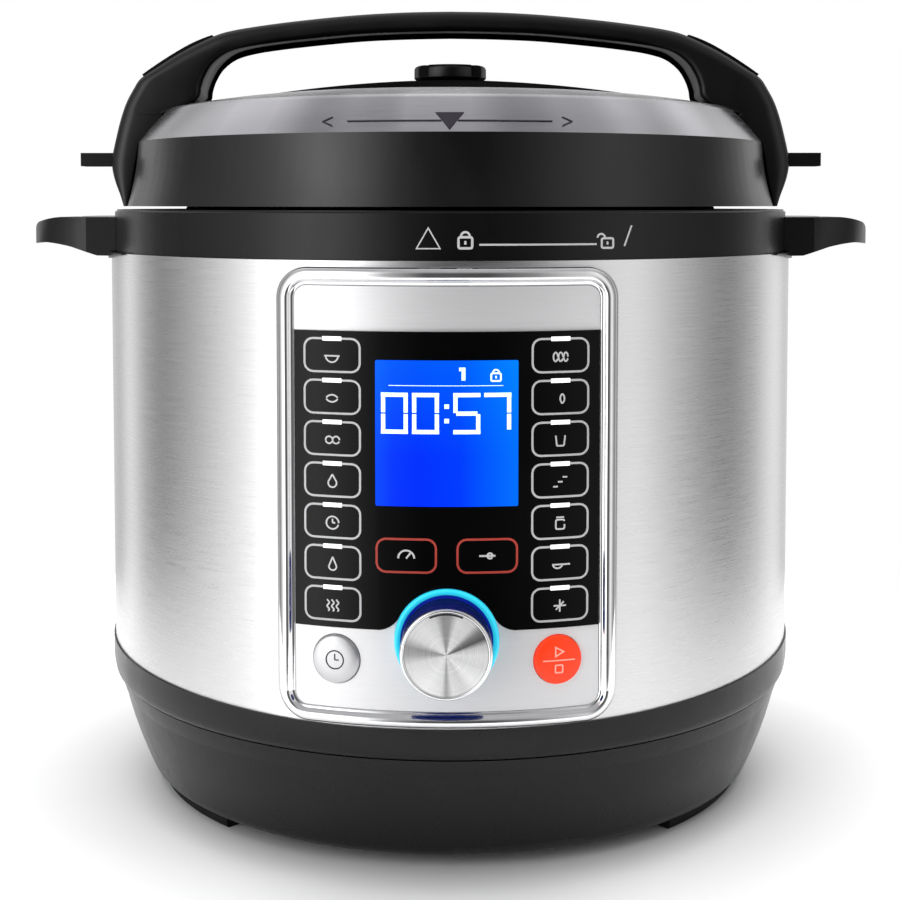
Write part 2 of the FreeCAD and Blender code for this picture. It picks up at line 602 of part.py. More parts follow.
def make_lid_covers():
    wall = turned("wall_body", [
        ("lid_low_radius", "lid_low"), ("lid_edge_radius", "lid_edge", 0.9),
        ("142", "lid_edge"), ("142", "lid_edge - 2"), ("lid_edge_radius - 3", "lid_edge - 2"),
        ("lid_low_radius - 3", "lid_low", -0.9)])
    bores = handle_screw_set("wall_bore", 1.55, 3.05)
    keep(cut("wall_cut", wall, fuse("wall_bores", *bores)), "lid_wall")
    keep(turned("trim_body", [
        ("lid_edge_radius", "lid_edge + 0.05"), ("cone_top_radius + 1", "cone_top - 1.2", -0.3),
        ("cone_top_radius - 3", "cone_top + 0.6", -0.5), ("trim_inner", "trim_inner_top", -0.4),
        ("trim_inner", "trim_inner_top - 1.5"), ("cone_top_radius - 3", "cone_top - 0.9"),
        ("lid_edge_radius - 3.6", "lid_edge + 0.05")]), "lid_trim")
    dome = turned("dome_body", [
        ("8", "dome_top - 2.5"), ("trim_inner - 0.1", "trim_inner_top - 2.6", 1.6),
        ("trim_inner - 0.1", "trim_inner_top - 0.1"), ("8", "dome_top", -1.6)])
    vent = rod("dome_float_hole", ("float_x", "float_y", "300"), (0, 0, 1), "float_radius + 1", "50")
    keep(cut("dome_cut", dome, vent), "lid_dome")


def make_pressure_lid():
    body = turned("cap_body", [
        ("pipe_radius", "286.8"), ("94", "283.8", -0.5), ("cap_radius", "264", 7),
        ("cap_radius", "251"), ("cap_radius + cap_wall", "251"), ("cap_radius + cap_wall", "264.5"),
        ("94.5", "285", -7.4), ("pipe_radius", "288", 0.5)])
    add_lugs(body, "cap", [
        ("cap_radius + 0.6", "251.5"), ("lug_bore - 0.5", "251.5"), ("lug_bore - 0.5", "253.5"),
        ("cap_radius + 0.6", "253.5")])
    hole = rod("cap_float_hole", ("float_x", "float_y", "250"), (0, 0, 1), "float_radius + 0.3", "60")
    keep(cut("cap_cut", body, hole), "pressure_lid")


def make_seal():
    keep(turned("seal_body", [
        ("118.6", "pot_rim + 0.4"), ("cap_radius - 0.4", "pot_rim + 0.4"), ("cap_radius - 0.4", "258"),
        ("122", "260"), ("118.6", "257.5"), ("121", "256"), ("121", "252")]), "sealing_ring")
    hoop = doc.addObject("Part::Torus", "rack_hoop")
    hoop.Radius1 = 116.6
    hoop.Radius2 = 1.3
    hoop.Placement.Base = FreeCAD.Vector(0, 0, 254)
    posts = [rod(f"rack_post_{index}", (x, y, "254"), (0, 0, 1), "0.9", "22.3")
             for index, (x, y) in enumerate(on_circle(8, 116.6, 22.5))]
    keep(fuse("rack_body", hoop, *posts), "ring_rack")


def make_valve():
    pipe = rod("pipe_tube", ("0", "0", "276"), (0, 0, 1), "pipe_radius", "57")
    bore = rod("pipe_bore", ("0", "0", "270"), (0, 0, 1), "1.5", "80")
    keep(cut("pipe_cut", pipe, bore), "exhaust_pipe")
    hexagon = doc.addObject("Part::Prism", "nut_hexagon")
    hexagon.Polygon = 6
    hexagon.Circumradius = 8
    hexagon.Height = 5
    hexagon.Placement.Base = FreeCAD.Vector(0, 0, 281.3)
    keep(cut("nut_cut", hexagon, rod("nut_bore", ("0", "0", "270"), (0, 0, 1), "pipe_radius", "30")), "pipe_nut")
    keep(turned("shield_body", [
        ("pipe_radius", "276"), ("pipe_radius", "280"), ("14", "280"), ("16", "278", -0.5),
        ("16", "266"), ("14.8", "266"), ("14.8", "277.6"), ("8", "278.6"), ("8", "276")]), "steam_shield")
    grip = turned("valve_body", [
        ("pipe_radius + 0.05", "324"), ("6.5", "324"), ("6.5", "valve_low"),
        ("valve_radius - 1", "valve_low"), ("valve_radius", "valve_low + 1"),
        ("valve_radius", "valve_top - 2.2"), ("valve_radius - 2.2", "valve_top", -0.7),
        ("0", "valve_top"), ("0", "valve_top - 2.5"), ("pipe_radius + 0.05", "valve_top - 2.5")])
    flats = [block(f"valve_flat_{index}", (low, high), ("-30", "-9"), ("valve_low + 1.2", "350"))
             for index, (low, high) in enumerate((("-30", "-10.2"), ("10.2", "30")))]
    backs = [block(f"valve_back_{index}", (low, high), ("9", "30"), ("valve_low + 1.2", "350"))
             for index, (low, high) in enumerate((("-30", "-10.2"), ("10.2", "30")))]
    keep(cut("valve_cut", grip, fuse("valve_cuts", *flats, *backs)), "valve_knob")


def make_float():
    pin = rod("float_stem", ("float_x", "float_y", "277"), (0, 0, 1), "float_radius", "48")
    foot = rod("float_foot", ("float_x", "float_y", "277"), (0, 0, 1), "5.5", "2.6")
    keep(fuse("float_solid", pin, foot), "float_pin")
    ring = rod("float_gasket", ("float_x", "float_y", "279.7"), (0, 0, 1), "5", "1.6")
    bore = rod("float_gasket_bore", ("float_x", "float_y", "270"), (0, 0, 1), "float_radius", "30")
    keep(cut("float_gasket_cut", ring, bore), "float_seal")


def lid_form(name, gap):
    """The lid's outside, a little larger, to fit the handle's legs against."""
    return turned(name, [
        ("0", "200"), (f"lid_low_radius + {gap}", "200"), (f"lid_low_radius + {gap}", "lid_low"),
        (f"lid_edge_radius + {gap}", "lid_edge", 0.9), (f"cone_top_radius + 1 + {gap}", f"cone_top - 1.2 + {gap}", -0.3),
        (f"cone_top_radius - 3 + {gap}", f"cone_top + 0.6 + {gap}", -0.5),
        ("trim_inner", f"trim_inner_top + {gap}", -0.4), ("0", f"trim_inner_top + {gap}")])


def make_handle():
    arch = prism("handle_arch", "XZ", [[
        ("155.6", "268.8"), ("162.2", "289", -1.6), ("155", "318.7", -1.0), ("148", "330", -0.8),
        ("126", "344.2", -0.5), ("104", "352.8", -0.9), ("-104", "352.8", -8.8),
        ("-126", "344.2", -0.9), ("-148", "330", -0.5), ("-155", "318.7", -0.8),
        ("-162.2", "289", -1.0), ("-155.6", "268.8", -1.6), ("-130", "268.8"), ("-118", "320"),
        ("-102.5", "342.4", 5.8), ("102.5", "342.4", 9.4), ("118", "320", 5.8), ("130", "268.8")]],
        "-handle_width / 2", "handle_width / 2")
    screws = handle_screw_set("handle_bore", 1.6, 3.1)
    pockets = [cap_prism(f"handle_cap_pocket_{side + 1}", side, 0.05) for side in (-1, 1)]
    stems = [tab_stem(f"handle_stem_hole_{side + 1}", side, "2.05") for side in (-1, 1)]
    keep(cut("handle_cut", arch, fuse("handle_clear", lid_form("handle_lid_form", 0.2), *pockets, *stems, *screws)),
         "lid_handle")


def cap_prism(name, side, gap):
    """The glossy inset along a shoulder of the handle."""
    return prism(name, "XZ", [[
        (f"{side} * 147", f"331.1 - {gap}"), (f"{side} * 147.7", "332"),
        (f"{side} * 126.4", "345.6", -0.4 * side), (f"{side} * 114", "350.8", -0.3 * side),
        (f"{side} * 113.4", f"347.9 - {gap}"), (f"{side} * 125.8", f"342.4 - {gap}")]],
        f"-12 - {gap}", f"12 + {gap}")


def make_shoulder_caps():
    for label, side in (("shoulder_cap_left", -1), ("shoulder_cap_right", 1)):
        keep(cap_prism(label + "_plate", side, 0), label)


def tab_stem(name, side, radius):
    return rod(name, (f"{side} * 156", "0", "291.5"), (side, 0, 0), radius, "9")


def make_rest_tabs():
    for label, side in (("rest_tab_left", -1), ("rest_tab_right", 1)):
        ends = sorted((side * 163.1, side * 179.2))
        bar = block(label + "_bar", ends, ("-6", "6"), ("288.3", "294.7"))
        keep(fuse(label + "_solid", bar, tab_stem(label + "_stem", side, "2")), label)


def handle_screw_set(name, shank, head):
    """Four screws from inside the lid wall into the handle's legs."""
    screws = []
    for side in (-1, 1):
        for y in (-11, 11):
            tag = f"{name}_{side + 1}_{y + 11}"
            parts = [rod(tag + "_head", (side * 143.5, y, "281"), (side, 0, 0), str(head), "3"),
                     rod(tag + "_shank", (side * 145, y, "281"), (side, 0, 0), str(shank), "12")]
            screws.append(fuse(tag, *parts))
    return screws


def make_handle_screws():
    keep(group("handle_screw_group", handle_screw_set("handle_screw", 1.5, 3)), "handle_screws")


# ---------------------------------------------------------------- build and write

def check_document():
    """Stop if any object failed or any sub-part isn't one sound shape."""
    for item in doc.Objects:
        bad = [state for state in item.State if state in ("Invalid", "Error")]
        if bad:
            raise RuntimeError(f"{item.Label} is {bad}")
    for item in subparts:
        if item.Shape.isNull() or not item.Shape.isValid():
            raise RuntimeError(f"{item.Label} has no sound shape")
        if item.Shape.Volume <= 0:
            raise RuntimeError(f"{item.Label} has no volume")


def write_steps():
    os.makedirs("parts", exist_ok=True)
    for item in subparts:
        item.Shape.exportStep(f"parts/{item.Label}.step")


fill_sheet()
make_bowl()
make_rim()
make_feet()
make_bottom_cover()
make_shell()
make_collar()
make_side_handle("side_handle_left", -1)
make_side_handle("side_handle_right", 1)
make_outer_pot()
make_inner_pot()
make_heater()
make_sensor()
make_safety_parts()
make_power_board()
make_inlet()
make_bezel()
make_panel_face()
make_panel_window()
make_display()
make_knob()
make_button("button_left", -1)
make_button("button_right", 1)
make_tact_switches()
make_collector()
make_lid_covers()
make_pressure_lid()
make_seal()
make_valve()
make_float()
make_handle()
make_shoulder_caps()
make_rest_tabs()
make_handle_screws()
doc.recompute()
check_document()
write_steps()
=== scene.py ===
"""Looks of the electric pressure cooker: camera, studio, materials and the detailed pieces."""
import math

import bmesh
import bpy
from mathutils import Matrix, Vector


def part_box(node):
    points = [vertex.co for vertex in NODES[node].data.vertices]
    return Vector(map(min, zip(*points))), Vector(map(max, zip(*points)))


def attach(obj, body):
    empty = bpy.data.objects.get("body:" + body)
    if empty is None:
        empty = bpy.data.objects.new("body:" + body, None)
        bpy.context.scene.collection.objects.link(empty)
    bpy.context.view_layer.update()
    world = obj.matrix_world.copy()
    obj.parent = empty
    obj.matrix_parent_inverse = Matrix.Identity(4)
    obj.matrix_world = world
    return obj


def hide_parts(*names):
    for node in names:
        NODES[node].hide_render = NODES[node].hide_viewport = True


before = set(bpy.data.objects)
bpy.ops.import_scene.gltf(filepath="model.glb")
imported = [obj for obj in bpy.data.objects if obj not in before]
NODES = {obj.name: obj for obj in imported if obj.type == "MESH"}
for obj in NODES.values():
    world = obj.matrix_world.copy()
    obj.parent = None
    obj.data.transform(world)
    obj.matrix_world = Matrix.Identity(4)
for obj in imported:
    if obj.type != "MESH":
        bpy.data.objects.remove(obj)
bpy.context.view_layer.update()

MM = 0.001
SCENE = bpy.context.scene


# ---------------------------------------------------------------- camera

EYE = (0.0063, -0.7686, 0.2706)
TURN = math.radians(0.476)
PITCH = math.radians(3.11)
LENS = 62.82
SENSOR_WIDTH = 36
SHIFT = -0.18

camera_data = bpy.data.cameras.new("camera")
camera_data.lens = LENS
camera_data.sensor_width = SENSOR_WIDTH
camera_data.shift_y = SHIFT
camera = bpy.data.objects.new("camera", camera_data)
camera.location = EYE
camera.rotation_euler = (math.pi / 2 - PITCH, 0, TURN)
SCENE.collection.objects.link(camera)
SCENE.camera = camera
SCENE.view_settings.view_transform = "Standard"


# ---------------------------------------------------------------- places read from the frame

SHELL_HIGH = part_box("steel_shell")[1]
BEZEL_LOW, BEZEL_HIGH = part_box("panel_bezel")
FACE_LOW, FACE_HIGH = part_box("panel_face")
DISPLAY_LOW, DISPLAY_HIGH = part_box("display_lens")
KNOB_LOW, KNOB_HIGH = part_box("knob_cap")
RING_LOW, RING_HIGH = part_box("light_ring")
WINDOW_RADIUS = -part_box("panel_window")[0].y
DISPLAY_RADIUS = -DISPLAY_LOW.y
HANDLE_HALF_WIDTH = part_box("lid_handle")[1].y
KNOB_Z = (KNOB_LOW.z + KNOB_HIGH.z) / 2
COLLAR_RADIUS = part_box("collar")[1].x - 0.6 * MM
WALL_LOW, WALL_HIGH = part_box("lid_wall")
TRIM_FOOT_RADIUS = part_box("lid_trim")[1].x
TRIM_TOP_RADIUS, TRIM_TOP_Z = 136.7 * MM, 312.8 * MM
INK = 0.12 * MM
MARK_CLEARANCE = 0.62 * MM


# ---------------------------------------------------------------- node helpers

def new_material(name):
    made = bpy.data.materials.new(name)
    made.use_nodes = True
    tree = made.node_tree
    shader = tree.nodes["Principled BSDF"]
    return made, tree, shader


def node(tree, kind, **settings):
    made = tree.nodes.new(kind)
    for key, setting in settings.items():
        if hasattr(made, key):
            setattr(made, key, setting)
        else:
            made.inputs[key.replace("_", " ")].default_value = setting
    return made


def coordinates(tree, scale=(1, 1, 1)):
    """Object coordinates, stretched."""
    source = node(tree, "ShaderNodeTexCoord")
    mapping = node(tree, "ShaderNodeMapping")
    mapping.inputs["Scale"].default_value = scale
    tree.links.new(source.outputs["Object"], mapping.inputs["Vector"])
    return mapping.outputs["Vector"]


def axes(tree, space="Object"):
    """The three parts of a coordinate."""
    source = node(tree, "ShaderNodeTexCoord")
    parts = node(tree, "ShaderNodeSeparateXYZ")
    tree.links.new(source.outputs[space], parts.inputs["Vector"])
    return parts.outputs


def bearing(tree, up, across):
    """The angle of the point (across, up) about the origin, in radians."""
    made = node(tree, "ShaderNodeMath", operation="ARCTAN2")
    tree.links.new(up, made.inputs[0])
    tree.links.new(across, made.inputs[1])
    return made.outputs["Value"]


def noise(tree, vector, scale, detail=4, roughness=0.55):
    made = node(tree, "ShaderNodeTexNoise")
    made.inputs["Scale"].default_value = scale
    made.inputs["Detail"].default_value = detail
    made.inputs["Roughness"].default_value = roughness
    tree.links.new(vector, made.inputs["Vector"])
    return made.outputs["Fac"]


def spread(tree, factor, low, high, start=0.3, end=0.7):
    """Map a grey factor onto a range of numbers."""
    made = node(tree, "ShaderNodeMapRange")
    made.inputs["From Min"].default_value = start
    made.inputs["From Max"].default_value = end
    made.inputs["To Min"].default_value = low
    made.inputs["To Max"].default_value = high
    tree.links.new(factor, made.inputs["Value"])
    return made.outputs["Result"]


def ramp(tree, factor, stops):
    made = node(tree, "ShaderNodeValToRGB")
    while len(made.color_ramp.elements) < len(stops):
        made.color_ramp.elements.new(0.5)
    for element, (place, colour) in zip(made.color_ramp.elements, stops):
        element.position = place
        element.color = (*colour, 1)
    tree.links.new(factor, made.inputs["Fac"])
    return made.outputs["Color"]


def bump(tree, shader, height, strength, distance):
    made = node(tree, "ShaderNodeBump")
    made.inputs["Strength"].default_value = strength
    made.inputs["Distance"].default_value = distance
    tree.links.new(height, made.inputs["Height"])
    tree.links.new(made.outputs["Normal"], shader.inputs["Normal"])


# ---------------------------------------------------------------- materials

def dim_grazing(tree, shader, facing, specular):
    """Let the gloss fade where the surface turns away, so that dark plastic keeps a dark outline."""
    weight = node(tree, "ShaderNodeLayerWeight")
    weight.inputs["Blend"].default_value = 0.5
    fade = spread(tree, weight.outputs["Facing"], specular, 0, *facing)
    tree.links.new(fade, shader.inputs["Specular IOR Level"])


def moulded(name, colour, lift=1.5, rough=(0.3, 0.42), grain=2600, depth=0.12, specular=0.4, facing=None,
            glow=0.0):
    """Moulded plastic: slight colour drift, a fine mould grain and faint marks; glow makes the plastic give
    off its own colour, a painted glow.
    """
    made, tree, shader = new_material(name)
    wide = noise(tree, coordinates(tree), 22, 3)
    fine = noise(tree, coordinates(tree), grain, 2)
    smear = noise(tree, coordinates(tree, (1, 1, 0.35)), 75, 6)
    lighter = tuple(min(1, part * lift + 0.001) for part in colour)
    tone = ramp(tree, wide, [(0.3, colour), (0.7, lighter)])
    tree.links.new(tone, shader.inputs["Base Color"])
    tree.links.new(spread(tree, smear, *rough), shader.inputs["Roughness"])
    shader.inputs["Specular IOR Level"].default_value = specular
    if facing:
        dim_grazing(tree, shader, facing, specular)
    # Painted glow: the plastic emits its own colour though it is no lamp.
    if glow:
        tree.links.new(tone, shader.inputs["Emission Color"])
        shader.inputs["Emission Strength"].default_value = glow
    bump(tree, shader, fine, depth, 0.00006)
    return made


def polar(tree):
    """The angle round the body's axis and the height, as a vector for streaks that run round it."""
    parts = axes(tree)
    joined = node(tree, "ShaderNodeCombineXYZ")
    tree.links.new(bearing(tree, parts["Y"], parts["X"]), joined.inputs["X"])
    tree.links.new(parts["Z"], joined.inputs["Z"])
    return joined.outputs["Vector"]


def brushed(name, colour, rough=(0.24, 0.36), around=7, upright=2600, aniso=0.55, depth=0.25, tone=0.86,
            metallic=1.0, painted_sheen_bands=None):
    """Steel brushed round the body's axis; the optional bands are painted sheen, broad light and dark bands
    of reflected light painted into the colour, given as how close they lie and how dark they get.
    """
    made, tree, shader = new_material(name)
    stretch = node(tree, "ShaderNodeMapping")
    stretch.inputs["Scale"].default_value = (around, 1, upright)
    tree.links.new(polar(tree), stretch.inputs["Vector"])
    streak = noise(tree, stretch.outputs["Vector"], 1.0, 3, 0.6)
    cloud = noise(tree, coordinates(tree), 9, 3)
    darker = tuple(part * tone for part in colour)
    finish = ramp(tree, streak, [(0.25, darker), (0.75, colour)])
    # Painted sheen: broad bands round the axis darken the colour, standing in for reflected bands of light.
    if painted_sheen_bands:
        broad = node(tree, "ShaderNodeMapping")
        broad.inputs["Scale"].default_value = (painted_sheen_bands[0], 1, 4)
        tree.links.new(polar(tree), broad.inputs["Vector"])
        wave = noise(tree, broad.outputs["Vector"], 1.0, 1, 0.4)
        shade = ramp(tree, wave, [(0.35, (painted_sheen_bands[1],) * 3), (0.62, (1, 1, 1))])
        mix = node(tree, "ShaderNodeMix", data_type="RGBA", blend_type="MULTIPLY")
        mix.inputs["Factor"].default_value = 1
        tree.links.new(finish, mix.inputs[6])
        tree.links.new(shade, mix.inputs[7])
        finish = mix.outputs[2]
    tree.links.new(finish, shader.inputs["Base Color"])
    both = node(tree, "ShaderNodeMath", operation="ADD")
    tree.links.new(spread(tree, streak, *rough), both.inputs[0])
    tree.links.new(spread(tree, cloud, -0.015, 0.02), both.inputs[1])
    tree.links.new(both.outputs["Value"], shader.inputs["Roughness"])
    shader.inputs["Metallic"].default_value = metallic
    shader.inputs["Anisotropic"].default_value = aniso
    shader.inputs["Anisotropic Rotation"].default_value = 0.25
    tangent = node(tree, "ShaderNodeTangent", direction_type="RADIAL", axis="Z")
    tree.links.new(tangent.outputs["Tangent"], shader.inputs["Tangent"])
    bump(tree, shader, streak, depth, 0.00002)
    return made


def metal(name, colour, rough=(0.05, 0.12), scale=160, depth=0.05, grain=900):
    """Plain metal, polished or satin, with faint smears."""
    made, tree, shader = new_material(name)
    smear = noise(tree, coordinates(tree), scale, 5)
    fine = noise(tree, coordinates(tree), grain, 2)
    darker = tuple(part * 0.93 for part in colour)
    tree.links.new(ramp(tree, smear, [(0.3, darker), (0.7, colour)]), shader.inputs["Base Color"])
    tree.links.new(spread(tree, smear, *rough), shader.inputs["Roughness"])
    shader.inputs["Metallic"].default_value = 1
    bump(tree, shader, fine, depth, 0.00003)
    return made


# Angle in degrees about the knob's axis, and the painted highlight there: how bright the turned metal's
# colour is painted, with dark wedges standing in for reflections.
PAINTED_KNOB_HIGHLIGHTS = ((-180, 0.5), (-165, 0.9), (-120, 1.0), (-98, 0.85), (-90, 0.4), (-80, 0.85), (-62, 0.75),
          (-45, 1.0), (-20, 0.85), (0, 1.0), (14, 0.8), (24, 0.12), (36, 0.3), (48, 0.9), (72, 1.0),
          (84, 0.45), (95, 0.4), (108, 0.9), (130, 1.0), (150, 0.9), (168, 0.4), (180, 0.5))


def spun(name, colour, rough):
    """Metal turned on a lathe about the knob's axis: fine rings that stretch each highlight, and painted
    highlights, bright and dark wedges by angle in the colour.
    """
    made, tree, shader = new_material(name)
    parts = axes(tree)
    height = node(tree, "ShaderNodeMath", operation="SUBTRACT")
    height.inputs[1].default_value = KNOB_Z
    tree.links.new(parts["Z"], height.inputs[0])
    flat = node(tree, "ShaderNodeCombineXYZ")
    tree.links.new(parts["X"], flat.inputs["X"])
    tree.links.new(height.outputs["Value"], flat.inputs["Y"])
    reach = node(tree, "ShaderNodeVectorMath", operation="LENGTH")
    tree.links.new(flat.outputs["Vector"], reach.inputs[0])
    rings = node(tree, "ShaderNodeTexNoise", noise_dimensions="1D")
    rings.inputs["Scale"].default_value = 9000
    rings.inputs["Detail"].default_value = 2
    tree.links.new(reach.outputs["Value"], rings.inputs["W"])
    # Painted highlights: the colour follows the angle round the axis, with bright and dark wedges standing in
    # for reflections.
    angle = bearing(tree, height.outputs["Value"], parts["X"])
    around = spread(tree, angle, 0, 1, -math.pi, math.pi)
    stops = [((degrees + 180) / 360, tuple(part * level for part in colour)) for degrees, level in PAINTED_KNOB_HIGHLIGHTS]
    tone = ramp(tree, around, stops)
    tree.links.new(tone, shader.inputs["Base Color"])
    tree.links.new(spread(tree, rings.outputs["Fac"], *rough), shader.inputs["Roughness"])
    shader.inputs["Metallic"].default_value = 0.45
    shader.inputs["Anisotropic"].default_value = 0.75
    shader.inputs["Anisotropic Rotation"].default_value = 0.25
    tangent = node(tree, "ShaderNodeTangent", direction_type="RADIAL", axis="Y")
    tree.links.new(tangent.outputs["Tangent"], shader.inputs["Tangent"])
    bump(tree, shader, rings.outputs["Fac"], 0.2, 0.00002)
    return made


def lit(name, colour, strength, edge=None):
    """A lit surface whose brightness drifts a little, as a backlight's does."""
    made, tree, shader = new_material(name)
    drift = noise(tree, coordinates(tree), 30, 2)
    edge = edge or tuple(part * 0.8 for part in colour)
    glow = ramp(tree, drift, [(0.3, edge), (0.7, colour)])
    tree.links.new(glow, shader.inputs["Emission Color"])
    tree.links.new(glow, shader.inputs["Base Color"])
    shader.inputs["Emission Strength"].default_value = strength
    shader.inputs["Roughness"].default_value = 0.25
    return made


def display_blue(name):
    """A backlit blue display, deeper at the lower left and paler at the right edge."""
    made, tree, shader = new_material(name)
    parts = axes(tree)
    across = spread(tree, parts["X"], 0, 1, DISPLAY_LOW.x, DISPLAY_HIGH.x)
    up = spread(tree, parts["Z"], 0, 1, DISPLAY_LOW.z, DISPLAY_HIGH.z)
    side = ramp(tree, across, [(0.0, (0.0, 0.09, 1.0)), (0.12, (0.0, 0.03, 1.0)), (0.3, (0.0, 0.015, 0.95)),
                               (0.6, (0.0, 0.045, 1.0)), (1.0, (0.0, 0.26, 1.0))])
    lift = ramp(tree, up, [(0.0, (0.0, 0.004, 0.85)), (0.35, (0.0, 0.008, 1.0)), (1.0, (0.0, 0.16, 1.0))])
    mix = node(tree, "ShaderNodeMix", data_type="RGBA")
    mix.inputs["Factor"].default_value = 0.45
    tree.links.new(side, mix.inputs[6])
    tree.links.new(lift, mix.inputs[7])
    tree.links.new(mix.outputs[2], shader.inputs["Emission Color"])
    shader.inputs["Base Color"].default_value = (0.0, 0.02, 0.2, 1)
    shader.inputs["Emission Strength"].default_value = 1.0
    shader.inputs["Specular IOR Level"].default_value = 0.1
    shader.inputs["Roughness"].default_value = 0.2
    fine = noise(tree, coordinates(tree), 3000, 1)
    bump(tree, shader, fine, 0.03, 0.00002)
    return made


def clear(name, colour, rough=0.12):
    """Clear plastic with a light haze."""
    made, tree, shader = new_material(name)
    haze = noise(tree, coordinates(tree), 60, 3)
    paler = tuple(min(1, part * 1.05) for part in colour)
    tree.links.new(ramp(tree, haze, [(0.3, colour), (0.7, paler)]), shader.inputs["Base Color"])
    tree.links.new(spread(tree, haze, rough * 0.7, rough * 1.4), shader.inputs["Roughness"])
    shader.inputs["Transmission Weight"].default_value = 0.85
    shader.inputs["IOR"].default_value = 1.49
    return made


def board(name):
    """A circuit board's solder mask with copper tracks just showing through."""
    made, tree, shader = new_material(name)
    tracks = node(tree, "ShaderNodeTexBrick")
    tracks.inputs["Scale"].default_value = 160
    tracks.inputs["Color1"].default_value = (0.012, 0.11, 0.035, 1)
    tracks.inputs["Color2"].default_value = (0.015, 0.14, 0.045, 1)
    tracks.inputs["Mortar"].default_value = (0.03, 0.24, 0.08, 1)
    tree.links.new(coordinates(tree), tracks.inputs["Vector"])
    tree.links.new(tracks.outputs["Color"], shader.inputs["Base Color"])
    shader.inputs["Roughness"].default_value = 0.35
    bump(tree, shader, tracks.outputs["Fac"], 0.2, 0.00005)
    return made


BLACK = (0.0018, 0.0018, 0.002)
MAT = {
    "body": moulded("satin_black_body", BLACK, lift=1.3, rough=(0.24, 0.32), specular=0.3),
    "lid": moulded("satin_black_lid", BLACK, rough=(0.22, 0.3), specular=0.5),
    "handle": moulded("satin_black_handle", (0.0016, 0.0016, 0.0018), rough=(0.26, 0.36),
                      facing=(0.35, 0.85)),
    "gloss": moulded("gloss_black", (0.002, 0.002, 0.0022), rough=(0.06, 0.12), depth=0.02,
                     facing=(0.35, 0.75)),
    "window": moulded("window_black", (0.0008, 0.0008, 0.001), rough=(0.05, 0.09), depth=0.01,
                      specular=0.12),
    "rubber": moulded("foot_rubber", (0.004, 0.004, 0.004), rough=(0.6, 0.75), depth=0.4, specular=0.2),
    "shell": brushed("brushed_shell", (0.82, 0.815, 0.82), aniso=0.8),
    "pot": brushed("spun_pot_steel", (0.72, 0.72, 0.71), rough=(0.18, 0.28), upright=1500),
    # The trim's colour carries painted sheen bands.
    "trim": brushed("silver_trim", (0.62, 0.61, 0.64), rough=(0.2, 0.28), upright=900, depth=0.1, tone=0.95,
                    painted_sheen_bands=(3.4, 0.6)),
    "face": brushed("silver_face", (0.82, 0.82, 0.83), rough=(0.34, 0.42), upright=1800, depth=0.1, tone=0.94,
                    metallic=0.4),
    "chrome": metal("polished_chrome", (0.9, 0.9, 0.91), rough=(0.04, 0.08)),
    "steel": metal("bright_steel", (0.7, 0.7, 0.71), rough=(0.15, 0.3)),
    "dark_steel": metal("zinc_black", (0.12, 0.12, 0.13), rough=(0.3, 0.45)),
    "cast": metal("cast_aluminium", (0.62, 0.62, 0.63), rough=(0.35, 0.5), depth=0.3, grain=1500),
    "silicone": moulded("silicone_white", (0.62, 0.62, 0.59), lift=1.1, rough=(0.4, 0.55), grain=900),
    "inner": moulded("inner_plastic", (0.02, 0.02, 0.022), rough=(0.5, 0.65)),
    "board": board("circuit_board"),
    "relay": moulded("relay_blue", (0.02, 0.09, 0.35), rough=(0.35, 0.45)),
    "copper": metal("tinned_copper", (0.75, 0.48, 0.3), rough=(0.25, 0.4)),
    "winding": moulded("winding_tape", (0.55, 0.45, 0.08), rough=(0.4, 0.55)),
    "display": display_blue("display_blue"),
    "digits": lit("display_white", (0.66, 0.87, 1.0), 1.0, edge=(0.6, 0.83, 1.0)),
    "led": lit("key_light", (0.95, 0.95, 0.95), 0.9),
    "print": moulded("printed_grey", (0.52, 0.52, 0.53), lift=1.15, rough=(0.4, 0.5)),
    "white": moulded("printed_white", (0.6, 0.6, 0.6), lift=1.1, rough=(0.4, 0.5)),
    # Painted glow on the start and stop signs: the print emits its colour.
    "pale_red": moulded("printed_pale_painted_glow", (0.9, 0.42, 0.34), lift=1.05, rough=(0.4, 0.5), glow=0.2),
    "red_line": moulded("printed_red", (0.42, 0.045, 0.03), lift=1.2, rough=(0.4, 0.5)),
    "grey_mark": moulded("printed_dark", (0.02, 0.018, 0.024), rough=(0.4, 0.5), specular=0.2),
    # Painted glow on the red button: its plastic emits its colour.
    "red": moulded("button_red", (0.95, 0.04, 0.004), lift=1.03, rough=(0.3, 0.4), depth=0.05, glow=0.35),
    "silver_button": metal("button_silver", (0.6, 0.6, 0.61), rough=(0.36, 0.46)),
    "cyan": lit("ring_cyan", (0.03, 0.62, 0.8), 0.62, edge=(0.02, 0.48, 0.74)),
    # Painted glow: the recess emits deep blue, standing in for the ring's light spilling into it.
    "recess_painted_glow": moulded("ring_deep_blue", (0.002, 0.008, 0.16), lift=1.6, rough=(0.2, 0.3), specular=0.2,
                         glow=1.0),
    # The knob's face carries painted highlights: bright and dark wedges by angle.
    "spun": spun("spun_aluminium", (0.95, 0.95, 0.95), (0.22, 0.36)),
    "knob_rim": metal("knob_rim", (0.93, 0.93, 0.94), rough=(0.16, 0.24)),
    # Painted reflection: the knob's side is tinted blue and glows, standing in for the lit ring mirrored in
    # it.
    "knob_side_painted_reflection": moulded("knob_side_painted_reflection", (0.002, 0.006, 0.06), lift=1.4, rough=(0.2, 0.3), specular=0.3,
                         glow=0.5),
    "clear": clear("clear_cup", (0.86, 0.89, 0.91)),
}

